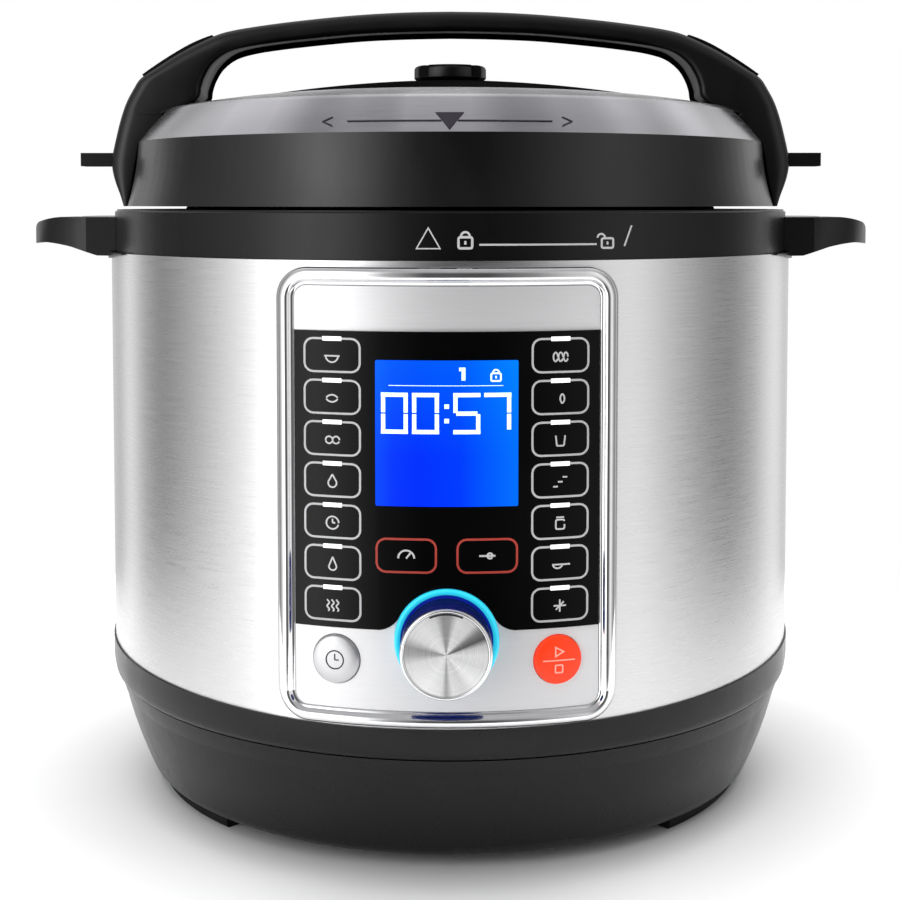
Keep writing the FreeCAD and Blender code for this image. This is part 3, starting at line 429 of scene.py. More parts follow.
NODE_MATERIALS = {
    "body": "base_bowl base_rim collar side_handle_left side_handle_right",
    "lid": "lid_wall",
    "handle": "lid_handle rest_tab_left rest_tab_right valve_knob",
    "gloss": "lid_dome shoulder_cap_left shoulder_cap_right",
    "window": "panel_window",
    "rubber": "foot_1 foot_2 foot_3 foot_4",
    "shell": "steel_shell",
    "pot": "outer_pot inner_pot pressure_lid",
    "trim": "lid_trim",
    "face": "panel_face",
    "chrome": "panel_bezel",
    "steel": "ring_rack exhaust_pipe pipe_nut steam_shield float_pin encoder_shaft sensor_spring "
             "sensor_bracket heater_terminals",
    "dark_steel": "bottom_screws collar_screws handle_screws",
    "cast": "heating_plate sensor_cup",
    "silicone": "sealing_ring float_seal",
    "inner": "bottom_cover inlet_socket collector_bracket pressure_switch encoder_body display_module "
             "tact_switches",
    "board": "power_board control_board",
    "relay": "relay",
    "copper": "inlet_pins thermal_fuse",
    "winding": "transformer",
    "display": "display_lens",
    "cyan": "light_ring",
    "red": "button_right",
    "silver_button": "button_left",
    "spun": "knob_cap",
    "clear": "collector_cup",
}


for key, names in NODE_MATERIALS.items():
    for name in names.split():
        NODES[name].data.materials.clear()
        NODES[name].data.materials.append(MAT[key])


# ---------------------------------------------------------------- mesh helpers

CRISP_ANGLE = math.radians(50)
BEVEL_ANGLE = math.radians(30)
WELD_DISTANCE = 0.01 * MM


def band_faces(rings, count, wrap=True):
    """Faces that join each ring of count points to the next one; wrap joins the last to the first."""
    made = []
    for index in range(rings if wrap else rings - 1):
        following = (index + 1) % rings
        for place in range(count):
            after = (place + 1) % count
            made.append((index * count + place, index * count + after,
                         following * count + after, following * count + place))
    return made


def mesh_piece(name, points, faces, key, body, smooth=True):
    """A closed mesh that rides on a body."""
    data = bpy.data.meshes.new(name)
    data.from_pydata([tuple(point) for point in points], [], faces)
    sweep = bmesh.new()
    sweep.from_mesh(data)
    bmesh.ops.remove_doubles(sweep, verts=sweep.verts, dist=1e-6)
    bmesh.ops.recalc_face_normals(sweep, faces=sweep.faces)
    sweep.to_mesh(data)
    sweep.free()
    if smooth:
        data.shade_smooth()
    item = bpy.data.objects.new(name, data)
    SCENE.collection.objects.link(item)
    item.data.materials.append(MAT[key])
    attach(item, body)
    return item


def keep_crisp(item):
    """Keep edges crisp where faces meet at more than CRISP_ANGLE."""
    item.data.set_sharp_from_angle(angle=CRISP_ANGLE)


def front(x, z, radius):
    """The point on an upright cylinder's front, straight behind (x, z)."""
    return Vector((x, -math.sqrt(radius * radius - x * x), z))


def on_front(radius):
    return lambda x, z, lift: front(x, z, radius + lift)


def strip(line, width, closed=False):
    """Left and right edges of a line of that width, as pairs of flat points."""
    pairs = []
    count = len(line)
    for index, point in enumerate(line):
        before = line[index - 1] if closed or index else point
        after = line[(index + 1) % count] if closed or index < count - 1 else point
        one = Vector(point) - Vector(before)
        two = Vector(after) - Vector(point)
        one = one.normalized() if one.length > 1e-9 else two.normalized()
        two = two.normalized() if two.length > 1e-9 else one
        along = (one + two).normalized()
        out = Vector((-along.y, along.x))
        grow = 1 / max(0.5, along.dot(one))
        pairs.append((Vector(point) + out * width / 2 * grow, Vector(point) - out * width / 2 * grow))
    return pairs


def add_stroke(points, faces, line, width, place, closed=False, lift=INK):
    """Add a raised line to a mesh under construction."""
    base = len(points)
    for left, right in strip(line, width, closed):
        points += [place(left.x, left.y, 0), place(left.x, left.y, lift),
                   place(right.x, right.y, lift), place(right.x, right.y, 0)]
    count = len(line)
    faces += [tuple(base + corner for corner in face) for face in band_faces(count, 4, closed)]
    if not closed:
        end = base + 4 * (count - 1)
        faces.append((base, base + 1, base + 2, base + 3))
        faces.append((end + 3, end + 2, end + 1, end))


def strokes(name, lines, place, key, body):
    """One piece made of raised lines; each line is (points, width, closed)."""
    points, faces = [], []
    for line, width, closed in lines:
        add_stroke(points, faces, line, width, place, closed)
    return mesh_piece(name, points, faces, key, body, smooth=False)


def bar(x0, z0, x1, z1, steps=4):
    """A straight line cut into short steps, so that it follows a curved wall."""
    return [(x0 + (x1 - x0) * index / steps, z0 + (z1 - z0) * index / steps) for index in range(steps + 1)]


def arc(x, z, radius, start, end, steps=14, flat=1.0):
    """Points on an arc in degrees, squashed upright by flat."""
    made = []
    for index in range(steps + 1):
        turn = math.radians(start + (end - start) * index / steps)
        made.append((x + radius * math.cos(turn), z + radius * flat * math.sin(turn)))
    return made


def ring(x, z, radius, steps=24):
    return arc(x, z, radius, 0, 360 - 360 / steps, steps - 1)


def round_rect(x, z, width, height, corner, steps=5, edge_steps=4):
    """The outline of a rectangle with round corners."""
    made = []
    half_x, half_z = width / 2 - corner, height / 2 - corner
    corners = ((1, 1), (-1, 1), (-1, -1), (1, -1))
    for index, (side_x, side_z) in enumerate(corners):
        made += arc(x + side_x * half_x, z + side_z * half_z, corner, 90 * index, 90 * index + 90, steps)
        following = corners[(index + 1) % 4]
        start = made[-1]
        turn = math.radians(90 * index + 90)
        stop = (x + following[0] * half_x + corner * math.cos(turn),
                z + following[1] * half_z + corner * math.sin(turn))
        made += bar(*start, *stop, edge_steps)[1:-1]
    return made


def lathe(name, profile, key, body, steps=96, axis="Z", centre=(0, 0, 0)):
    """A turned piece; the closed profile is (radius, distance along Z or towards the front)."""
    points = []
    for index in range(steps):
        turn = math.tau * index / steps
        for radius, along in profile:
            flat = (radius * math.cos(turn), radius * math.sin(turn))
            spot = Vector((flat[0], flat[1], along)) if axis == "Z" else Vector((flat[0], -along, flat[1]))
            points.append(spot + Vector(centre))
    return mesh_piece(name, points, band_faces(steps, len(profile)), key, body)


def soften(name, width):
    """Round a CAD node's edges a little with modifiers, which leave its mesh as it is."""
    item = NODES[name]
    weld = item.modifiers.new("weld", "WELD")
    weld.merge_threshold = WELD_DISTANCE
    bevel = item.modifiers.new("bevel", "BEVEL")
    bevel.width = width
    bevel.segments = 3
    bevel.limit_method = "ANGLE"
    bevel.angle_limit = BEVEL_ANGLE
    bevel.harden_normals = True


# ---------------------------------------------------------------- control panel

BEZEL_RISE = 4.3 * MM
BEZEL_GAP = 0.1 * MM
BEZEL_CORNER_IN, BEZEL_CORNER_OUT = 5 * MM, 13 * MM
# Share of the way from the inner to the outer edge, and the rise there in millimetres.
BEZEL_SECTION = ((0, 0), (0, 1.2), (0.05, 1.75), (0.14, 1.95), (0.2, 2.2), (0.28, 3.3), (0.4, 4.05),
                 (0.55, 4.3), (0.7, 4.05), (0.84, 3.3), (0.93, 2.1), (0.98, 0.9), (1, 0))


def bezel():
    """The chrome frame: a bulged section carried round the panel's rounded outline."""
    low, high = BEZEL_LOW.z, BEZEL_HIGH.z
    face_low, face_high = FACE_LOW.z - BEZEL_GAP, FACE_HIGH.z + BEZEL_GAP
    inner_width = 2 * (FACE_HIGH.x + BEZEL_GAP)
    inner = round_rect(0, (face_low + face_high) / 2, inner_width, face_high - face_low, BEZEL_CORNER_IN,
                       10, 12)
    outer = round_rect(0, (low + high) / 2, 2 * BEZEL_HIGH.x, high - low, BEZEL_CORNER_OUT, 10, 12)
    base = -BEZEL_LOW.y - BEZEL_RISE
    points = []
    for near, far in zip(inner, outer):
        for share, rise in BEZEL_SECTION:
            x = near[0] + (far[0] - near[0]) * share
            z = near[1] + (far[1] - near[1]) * share
            points.append(front(x, z, base + rise * MM))
    faces = band_faces(len(inner), len(BEZEL_SECTION))
    item = mesh_piece("bezel_frame", points, faces, "chrome", "cooker")
    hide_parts("panel_bezel")


KEY_LEFT_X, KEY_RIGHT_X = -44.9 * MM, 44.4 * MM
KEY_WIDTH, KEY_HEIGHT = 22.1 * MM, 13.0 * MM
KEY_TOP, KEY_STEP = 211.2 * MM, 16.36 * MM
KEY_CORNER, KEY_LINE = 3.4 * MM, 0.82 * MM
KEY_LIGHT_HALF, KEY_LIGHT_WIDTH = 3.8 * MM, 1.7 * MM
GLYPH_SIZE, GLYPH_LINE, GLYPH_DROP = 6.2 * MM, 0.62 * MM, 0.6 * MM
PAIR_X, PAIR_Z, PAIR_WIDTH = 15.8 * MM, 133.3 * MM, 23.2 * MM
PAIR_CORNER, PAIR_LINE = 3.6 * MM, 0.85 * MM
PAIR_GLYPH_SIZE, PAIR_GLYPH_LINE = 7 * MM, 0.7 * MM


def glyph_lines(kind, x, z, size):
    """Plain pictograms for the keys, drawn as lines about a centre."""
    u = size / 2
    shapes = {
        "bowl": [arc(x, z + 0.1 * u, 0.8 * u, 180, 360),
                 bar(x - 1.0 * u, z + 0.1 * u, x + 1.0 * u, z + 0.1 * u)],
        "pan": [arc(x - 0.3 * u, z, 0.6 * u, 180, 360, flat=0.8), bar(x - 1.0 * u, z, x + 1.3 * u, z)],
        "bean": [ring(x - 0.4 * u, z, 0.45 * u, 16), ring(x + 0.5 * u, z, 0.45 * u, 16)],
        "drop": [arc(x, z - 0.2 * u, 0.55 * u, 140, 400), bar(x - 0.42 * u, z + 0.15 * u, x, z + 0.9 * u),
                 bar(x, z + 0.9 * u, x + 0.42 * u, z + 0.15 * u)],
        "clock": [ring(x, z, 0.8 * u, 20), bar(x, z, x, z + 0.5 * u), bar(x, z, x + 0.35 * u, z)],
        "flame": [arc(x, z - 0.3 * u, 0.5 * u, 180, 360), bar(x - 0.5 * u, z - 0.3 * u, x, z + 0.9 * u),
                  bar(x, z + 0.9 * u, x + 0.5 * u, z - 0.3 * u)],
        "waves": [[(x + (0.15 * math.sin(step * 0.9) + shift) * u, z + (step / 8 - 0.8) * u)
                   for step in range(13)] for shift in (-0.6, 0, 0.6)],
        "grain": [arc(x + shift * u, z, 0.28 * u, 0, 338, 12, flat=2) for shift in (-0.65, 0, 0.65)],
        "leaf": [arc(x - 0.3 * u, z, 0.8 * u, -50, 50), arc(x + 0.75 * u, z, 0.8 * u, 130, 230)],
        "cup": [bar(x - 0.6 * u, z + 0.6 * u, x - 0.45 * u, z - 0.7 * u),
                bar(x - 0.45 * u, z - 0.7 * u, x + 0.45 * u, z - 0.7 * u),
                bar(x + 0.45 * u, z - 0.7 * u, x + 0.6 * u, z + 0.6 * u)],
        "jar": [round_rect(x, z - 0.15 * u, 1.1 * u, 1.2 * u, 0.2 * u, 2, 2),
                bar(x - 0.5 * u, z + 0.75 * u, x + 0.5 * u, z + 0.75 * u)],
        "star": [bar(x - 0.8 * u, z, x + 0.8 * u, z), bar(x, z - 0.8 * u, x, z + 0.8 * u),
                 bar(x - 0.5 * u, z - 0.5 * u, x + 0.5 * u, z + 0.5 * u)],
        "steps": [bar(x + (shift - 0.3) * u, z + shift * u, x + (shift + 0.3) * u, z + shift * u)
                  for shift in (-0.6, 0, 0.6)],
        "fish": [arc(x, z - 0.45 * u, 0.9 * u, 35, 145), arc(x, z + 0.45 * u, 0.9 * u, 215, 325)],
        "gauge": [arc(x, z - 0.3 * u, 0.9 * u, 0, 180), bar(x, z - 0.3 * u, x + 0.5 * u, z + 0.35 * u)],
        "slider": [bar(x - 0.9 * u, z, x + 0.9 * u, z), ring(x + 0.3 * u, z, 0.3 * u, 12)],
    }
    return shapes[kind]


LEFT_KEYS = ("bowl", "fish", "bean", "drop", "clock", "flame", "waves")
RIGHT_KEYS = ("grain", "leaf", "cup", "steps", "jar", "pan", "star")


def key_graphics():
    """Outlines, lights and pictograms of the touch keys, printed on the glossy window."""
    place = on_front(WINDOW_RADIUS)
    outlines, lights, marks = [], [], []
    for x, kinds in ((KEY_LEFT_X, LEFT_KEYS), (KEY_RIGHT_X, RIGHT_KEYS)):
        for row, kind in enumerate(kinds):
            z = KEY_TOP - row * KEY_STEP
            top = z + KEY_HEIGHT / 2
            outlines.append((round_rect(x, z, KEY_WIDTH, KEY_HEIGHT, KEY_CORNER), KEY_LINE, True))
            lights.append((bar(x - KEY_LIGHT_HALF, top, x + KEY_LIGHT_HALF, top), KEY_LIGHT_WIDTH, False))
            for line in glyph_lines(kind, x, z - GLYPH_DROP, GLYPH_SIZE):
                marks.append((line, GLYPH_LINE, False))
    strokes("key_outlines", outlines, place, "print", "cooker")
    strokes("key_lights", lights, on_front(WINDOW_RADIUS + INK), "led", "cooker")
    strokes("key_pictograms", marks, place, "white", "cooker")
    pair, pair_marks = [], []
    for side, kind in ((-1, "gauge"), (1, "slider")):
        x = side * PAIR_X
        pair.append((round_rect(x, PAIR_Z, PAIR_WIDTH, KEY_HEIGHT, PAIR_CORNER), PAIR_LINE, True))
        for line in glyph_lines(kind, x, PAIR_Z, PAIR_GLYPH_SIZE):
            pair_marks.append((line, PAIR_GLYPH_LINE, False))
    strokes("adjust_key_outlines", pair, place, "red_line", "cooker")
    strokes("adjust_key_pictograms", pair_marks, place, "white", "cooker")


SEGMENTS = {"0": "abcdef", "5": "acdfg", "7": "abc"}
DIGITS = (("0", -24.7 * MM), ("0", -12.6 * MM), ("5", 3.4 * MM), ("7", 15.4 * MM))
DIGIT_Z, DIGIT_WIDTH, DIGIT_HEIGHT = 181.9 * MM, 8.8 * MM, 14.4 * MM
SEGMENT_WIDTH, SEGMENT_OVERLAP, SEGMENT_GAP = 1.6 * MM, 0.85 * MM, 0.3 * MM
COLON_HALF, COLON_WIDTH, COLON_PLACES = 0.9 * MM, 1.7 * MM, (0.3, 0.69)
RULE_LEFT, RULE_RIGHT, RULE_Z, RULE_WIDTH = -22.6 * MM, 21.9 * MM, 199.9 * MM, 0.22 * MM
LOCK_X, LOCK_Z, LOCK_SIZE = 19.1 * MM, 204.4 * MM, 6 * MM
ONE_X, ONE_LOW, ONE_HIGH, ONE_WIDTH = 6.5 * MM, 202 * MM, 207 * MM, 1.5 * MM
SERIF_X, SERIF_LOW, SERIF_WIDTH = 5.2 * MM, 205.6 * MM, 0.8 * MM


def digit_lines(sign, x, z, width, height):
    """A seven-segment digit with its lower left corner at (x, z)."""
    middle, top, right = z + height / 2, z + height, x + width
    half, gap = SEGMENT_OVERLAP, SEGMENT_GAP
    ends = {
        "a": (x - half, top, right + half, top), "g": (x + gap, middle, right - gap, middle),
        "d": (x - half, z, right + half, z), "b": (right, top - half, right, middle + gap),
        "c": (right, middle - gap, right, z + half), "f": (x, top - half, x, middle + gap),
        "e": (x, middle - gap, x, z + half),
    }
    return [bar(*ends[name], 2) for name in SEGMENTS[sign]]


def padlock_lines(x, z, size, opened=False):
    """A small padlock: a body and a shackle, swung aside when it is open."""
    shackle_x = x - (size * 0.34 if opened else 0)
    made = [(round_rect(x, z - size * 0.2, size * 0.62, size * 0.5, size * 0.08, 2, 2), size * 0.11, True)]
    made.append((arc(shackle_x, z + size * 0.08, size * 0.2, 0, 180), size * 0.1, False))
    made.append((bar(x, z - size * 0.12, x, z - size * 0.28, 2), size * 0.1, False))
    return made


def display_graphics():
    """Digits, rule and small signs on the blue display."""
    place = on_front(DISPLAY_RADIUS)
    lines = []
    for sign, x in DIGITS:
        for line in digit_lines(sign, x, DIGIT_Z, DIGIT_WIDTH, DIGIT_HEIGHT):
            lines.append((line, SEGMENT_WIDTH, False))
    for share in COLON_PLACES:
        z = DIGIT_Z + share * DIGIT_HEIGHT
        lines.append((bar(-COLON_HALF, z, COLON_HALF, z, 2), COLON_WIDTH, False))
    lines.append((bar(RULE_LEFT, RULE_Z, RULE_RIGHT, RULE_Z, 8), RULE_WIDTH, False))
    lines += padlock_lines(LOCK_X, LOCK_Z, LOCK_SIZE)
    lines.append((bar(ONE_X, ONE_LOW, ONE_X, ONE_HIGH, 2), ONE_WIDTH, False))
    lines.append((bar(SERIF_X, SERIF_LOW, SERIF_X, ONE_HIGH, 2), SERIF_WIDTH, False))
    strokes("display_signs", lines, place, "digits", "cooker")


GLOW_WIDTH = 2.3 * MM


def light_ring():
    """The glowing ring round the knob and the dark recess inside it, whose deep blue glow is painted light
    from the ring.
    """
    back, high = -RING_HIGH.y, -RING_LOW.y
    radius = RING_HIGH.x
    inside = radius - GLOW_WIDTH
    glow = [(inside, back), (inside, high - 0.9 * MM), (inside + 0.4 * MM, high - 0.25 * MM),
            (inside + 1.2 * MM, high), (radius - 0.45 * MM, high - 0.2 * MM), (radius, high - 1.0 * MM),
            (radius, back)]
    centre = (0, 0, KNOB_Z)
    shine = lathe("glow_ring", glow, "cyan", "cooker", axis="Y", centre=centre)
    bowl = [(5.4 * MM, back), (5.4 * MM, back + 1.5 * MM), (13.2 * MM, back + 1.5 * MM),
            (15.4 * MM, back + 1.8 * MM), (16 * MM, back + 2.4 * MM), (16.6 * MM, back + 1.8 * MM),
            (inside - 0.2 * MM, back + 2.1 * MM), (inside - 0.05 * MM, back + 4.2 * MM),
            (inside - 0.05 * MM, back)]
    recess = lathe("ring_recess", bowl, "recess_painted_glow", "cooker", axis="Y", centre=centre)
    for item in (shine, recess):
        item.visible_glossy = False
    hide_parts("light_ring")


KNOB_EDGE = 1.9 * MM
KNOB_BORE, KNOB_EDGE_BORE = 3.2 * MM, 12 * MM
AXIS = 0.01 * MM


def knob():
    """The turned knob: a dark side with a painted blue reflection, a bright edge, a shallow spun face and a
    painted shadow line at the top of the face.
    """
    face, back, radius = -KNOB_LOW.y, -KNOB_HIGH.y, KNOB_HIGH.x
    centre = (0, 0, KNOB_Z)
    split = face - KNOB_EDGE
    side = [(KNOB_BORE, back), (radius - 0.8 * MM, back), (radius - 0.3 * MM, back + 0.5 * MM),
            (radius - 0.15 * MM, back + 1.4 * MM), (radius - 0.15 * MM, split - 0.3 * MM),
            (radius - 0.5 * MM, split), (KNOB_BORE, split)]
    skirt = lathe("knob_skirt", side, "knob_side_painted_reflection", "knob", axis="Y", centre=centre, steps=128)
    keep_crisp(skirt)
    edge = [(KNOB_EDGE_BORE, split), (radius - 0.3 * MM, split), (radius, split + 0.3 * MM),
            (radius, face - 0.9 * MM), (radius - 0.25 * MM, face - 0.35 * MM),
            (radius - 0.7 * MM, face - 0.08 * MM), (radius - 1.0 * MM, face),
            (radius - 1.3 * MM, face - 0.1 * MM), (radius - 1.6 * MM, face - 0.7 * MM),
            (KNOB_EDGE_BORE, face - 0.8 * MM)]
    rim = lathe("knob_rim", edge, "knob_rim", "knob", axis="Y", centre=centre, steps=128)
    keep_crisp(rim)
    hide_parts("knob_cap")
    inner = radius - 1.7 * MM
    profile = [(AXIS, face - 0.8 * MM), (AXIS, face - 0.15 * MM)]
    steps = 18
    for index in range(1, steps + 1):
        share = index / steps
        profile.append((inner * share, face - (0.15 + 0.35 * share * share) * MM))
    profile.append((inner, face - 0.8 * MM))
    disc = lathe("knob_face", profile, "spun", "knob", axis="Y", centre=centre, steps=128)
    keep_crisp(disc)
    # Painted shadow: a thin dark arc at the top of the face, just inside the edge, standing in for the shade
    # the edge casts there.
    lip = face - 0.5 * MM
    pointer = arc(0, KNOB_Z, inner - 0.45 * MM, 66, 114, 12)
    strokes("knob_painted_shadow_arc", [(pointer, 0.7 * MM, False)], lambda x, z, lift: Vector((x, -(lip + lift), z)),
            "grey_mark", "knob")


BUTTON_RADIUS = 9.7 * MM
BUTTON_TURN = math.radians(15.46)
BUTTON_BACK, BUTTON_FRONT = 157.6 * MM, 165.6 * MM
BUTTON_CROWN = 0.33 * MM


def button(name, side, body, key):
    """A round button with a crowned face, square to the curved panel."""
    low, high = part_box(name)
    radius, face = BUTTON_RADIUS, BUTTON_FRONT
    height = (low.z + high.z) / 2
    turn = side * BUTTON_TURN
    profile = [(AXIS, BUTTON_BACK), (radius, BUTTON_BACK), (radius, face - 1.3 * MM),
               (radius - 0.2 * MM, face - 0.75 * MM), (radius - 0.8 * MM, face - 0.45 * MM),
               (radius * 0.6, face - 0.12 * MM), (radius * 0.3, face - 0.02 * MM), (AXIS, face)]
    points = []
    steps = 72
    for index in range(steps):
        angle = math.tau * index / steps
        for reach, along in profile:
            spot = Vector((reach * math.cos(angle), -along, reach * math.sin(angle) + height))
            points.append(turned(spot, turn))
    item = mesh_piece(name + "_crown", points, band_faces(steps, len(profile)), key, body)
    item.visible_glossy = False
    keep_crisp(item)
    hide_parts(name)

    def place(x, z, lift):
        away = math.hypot(x, z - height) / radius
        return turned(Vector((x, -(face - BUTTON_CROWN * away * away + lift), z)), turn)
    return place, height


def turned(spot, angle):
    """A point turned about the body's axis."""
    return Vector((spot.x * math.cos(angle) - spot.y * math.sin(angle),
                   spot.x * math.sin(angle) + spot.y * math.cos(angle), spot.z))


SIGN_LINE = 0.5 * MM
CLOCK_RADIUS, MINUTE_HAND, HOUR_HAND = 3.6 * MM, 2.4 * MM, 1.7 * MM
DIVIDER_HALF, DIVIDER_LINE = 6.6 * MM, 0.45 * MM
STOP_DROP, STOP_SIZE, STOP_CORNER, RED_SIGN_LINE = 3.4 * MM, 3 * MM, 0.3 * MM, 0.55 * MM


def buttons():
    """The two buttons, with a clock on one and start and stop signs on the other."""
    place, z = button("button_left", -1, "button_left", "silver_button")
    lines = [(ring(0, z, CLOCK_RADIUS, 28), SIGN_LINE, True),
             (bar(0, z, 0, z + MINUTE_HAND), SIGN_LINE, False), (bar(0, z, HOUR_HAND, z), SIGN_LINE, False)]
    strokes("timer_sign", lines, place, "grey_mark", "button_left")
    place, z = button("button_right", 1, "button_right", "red")
    start = [(-1.4 * MM, z + 1.6 * MM), (-1.4 * MM, z + 5.2 * MM), (1.9 * MM, z + 3.4 * MM)]
    stop = round_rect(0, z - STOP_DROP, STOP_SIZE, STOP_SIZE, STOP_CORNER, 2, 2)
    lines = [(bar(-DIVIDER_HALF, z, DIVIDER_HALF, z, 10), DIVIDER_LINE, False),
             (start, RED_SIGN_LINE, True), (stop, RED_SIGN_LINE, True)]
    strokes("start_stop_signs", lines, place, "pale_red", "button_right")


# ---------------------------------------------------------------- marks on the collar and lid

COLLAR_MARK_LOW, COLLAR_MARK_HIGH = 252.8 * MM, 260.8 * MM
TRIANGLE_X, TRIANGLE_HALF, TRIANGLE_LINE = -7.2 * MM, 4.6 * MM, 0.5 * MM
SHUT_X, SHUT_SIZE = 7.2 * MM, 8.6 * MM
OPEN_X, OPEN_SIZE, OPEN_DROP = 63.4 * MM, 7.6 * MM, 0.6 * MM
TRACK_LEFT, TRACK_RIGHT, TRACK_Z, TRACK_LINE = 12.6 * MM, 59 * MM, 254.3 * MM, 0.75 * MM
STROKE_LEFT, STROKE_RIGHT, STROKE_LINE = 70.4 * MM, 73.4 * MM, 0.7 * MM


def collar_marks():
    """Alignment marks: a triangle, a shut padlock, a rule, an open padlock and a stroke."""
    place = on_front(COLLAR_RADIUS)
    low, high = COLLAR_MARK_LOW, COLLAR_MARK_HIGH
    middle = (low + high) / 2
    triangle = [(TRIANGLE_X - TRIANGLE_HALF, low), (TRIANGLE_X + TRIANGLE_HALF, low), (TRIANGLE_X, high)]
    lines = [(triangle, TRIANGLE_LINE, True)]
    lines += padlock_lines(SHUT_X, middle, SHUT_SIZE)
    lines.append((bar(TRACK_LEFT, TRACK_Z, TRACK_RIGHT, TRACK_Z, 16), TRACK_LINE, False))
    lines += padlock_lines(OPEN_X, middle - OPEN_DROP, OPEN_SIZE, opened=True)
    lines.append((bar(STROKE_LEFT, low + 0.6 * MM, STROKE_RIGHT, high + 0.8 * MM, 3), STROKE_LINE, False))
    strokes("collar_marks", lines, place, "white", "cooker")


def lid_radius(z):
    """The lid's outside radius at a height: the black wall, then the silver cone above it."""
    if z < WALL_HIGH.z:
        share = (z - WALL_LOW.z) / (WALL_HIGH.z - WALL_LOW.z)
        return WALL_HIGH.x + (TRIM_FOOT_RADIUS - WALL_HIGH.x) * share
    share = min(1, (z - WALL_HIGH.z) / (TRIM_TOP_Z - WALL_HIGH.z))
    return TRIM_FOOT_RADIUS + (TRIM_TOP_RADIUS - TRIM_FOOT_RADIUS) * share


POINTER_X, POINTER_HALF, POINTER_LOW, POINTER_HIGH = 1.0 * MM, 5.7 * MM, 299.8 * MM, 306.5 * MM
POINTER_TIP, POINTER_DEPTH = 0.05 * MM, 0.3 * MM
LID_RULE_Z, LID_RULE_LINE = 303.2 * MM, 0.4 * MM
LID_RULES = ((-40 * MM, -2.2 * MM), (4.2 * MM, 42 * MM))
ARROW_X, ARROW_LENGTH, ARROW_HALF, ARROW_LINE = 46 * MM, 4 * MM, 1.8 * MM, 0.45 * MM


def lid_marks():
    """A pointer on the silver cone with a thin rule and small arrows."""
    def place(x, z, lift):
        return front(x, z, lid_radius(z) + lift + MARK_CLEARANCE)
    points = []
    rows = 7
    for index in range(rows):
        share = index / (rows - 1)
        z = POINTER_LOW + (POINTER_HIGH - POINTER_LOW) * share
        wide = max(POINTER_HALF * share, POINTER_TIP)
        left, right = POINTER_X - wide, POINTER_X + wide
        points += [place(left, z, -POINTER_DEPTH), place(left, z, INK),
                   place(right, z, INK), place(right, z, -POINTER_DEPTH)]
    faces = band_faces(rows, 4, wrap=False)
    faces += [(3, 2, 1, 0), tuple(4 * (rows - 1) + side for side in range(4))]
    mesh_piece("lid_pointer", points, faces, "grey_mark", "lid", smooth=False)
    z = LID_RULE_Z
    lines = [(bar(left, z, right, z, 10), LID_RULE_LINE, False) for left, right in LID_RULES]
    for side in (-1, 1):
        foot, tip = side * ARROW_X, side * (ARROW_X + ARROW_LENGTH)
        lines.append(([(foot, z - ARROW_HALF), (tip, z), (foot, z + ARROW_HALF)], ARROW_LINE, False))
    strokes("lid_rule", lines, place, "grey_mark", "lid")


# ---------------------------------------------------------------- lid handle

# From a leg's foot to the middle of the arch: distance from the middle and height, in millimetres.
OUTER = [(155.6, 268.9), (157.4, 274), (159.8, 279.6), (161.6, 285.2), (162.2, 290.5), (161.2, 296.4),
         (159.9, 302), (158.4, 308), (156.8, 313.3), (154.6, 319), (151.2, 325.2), (147.6, 330.2),
         (139.2, 335.8), (130.2, 341.5), (121, 346.3), (112, 350.3), (104, 352.6), (90, 354.9), (70, 357.4),
         (45, 359.8), (22, 361.1), (0, 361.5)]
INNER = [(155.0, 268.9), (154.3, 274), (153.4, 279.6), (152.3, 285.2), (151.5, 290.5), (150.6, 296.4),
         (147, 301.5), (143, 306.5), (139.0, 311), (132, 314.4), (124.5, 317), (119.3, 321), (118.2, 326),
         (116.4, 331), (112.8, 336.6), (106.5, 341.4), (98, 344.1), (86, 346.1), (68, 348.2), (44, 350.4),
         (22, 351.4), (0, 351.8)]


def smooth_line(points, steps):
    """A Catmull-Rom line through the points, which are in millimetres."""
    made = []
    padded = [points[0]] + points + [points[-1]]
    for index in range(1, len(padded) - 2):
        p0, p1, p2, p3 = (Vector(padded[index + shift]) for shift in (-1, 0, 1, 2))
        for step in range(steps):
            t = step / steps
            made.append(0.5 * ((2 * p1) + (p2 - p0) * t + (2 * p0 - 5 * p1 + 4 * p2 - p3) * t * t
                               + (3 * p1 - p0 - 3 * p2 + p3) * t ** 3))
    made.append(Vector(points[-1]))
    return [spot * MM for spot in made]


LEG_FROM_X = 137.5 * MM
FRONT_ROUND, LEG_UNDER_ROUND, ARCH_UNDER_ROUND = 6.5 * MM, 0.6 * MM, 3 * MM
LEG_GAP = 0.25 * MM


def handle_section(outer, inner, half):
    """A closed section between an outer and an inner point; its front edge is well rounded."""
    leg = inner.x > LEG_FROM_X
    thick = (outer - inner).length
    lip = min(FRONT_ROUND, thick * 0.6)
    under = min(LEG_UNDER_ROUND if leg else ARCH_UNDER_ROUND, thick * 0.3)
    shape = []
    for step in range(7):
        turn = math.radians(90 * step / 6)
        shape.append((half - lip + lip * math.sin(turn), 1 - (lip - lip * math.cos(turn)) / thick))
    for step in range(6):
        turn = math.radians(90 * step / 5)
        shape.append((half - under + under * math.cos(turn), (under - under * math.sin(turn)) / thick))
    shape += [(-y, share) for y, share in reversed(shape)]
    spots = []
    for y, share in shape:
        near = inner.copy()
        if leg:
            reach = math.sqrt(max(lid_radius(inner.y) ** 2 - y * y, 0)) + LEG_GAP
            near.x = min(reach, near.x)
        flat = near + (outer - near) * share
        spots.append(Vector((flat.x, y, flat.y)))
    return spots


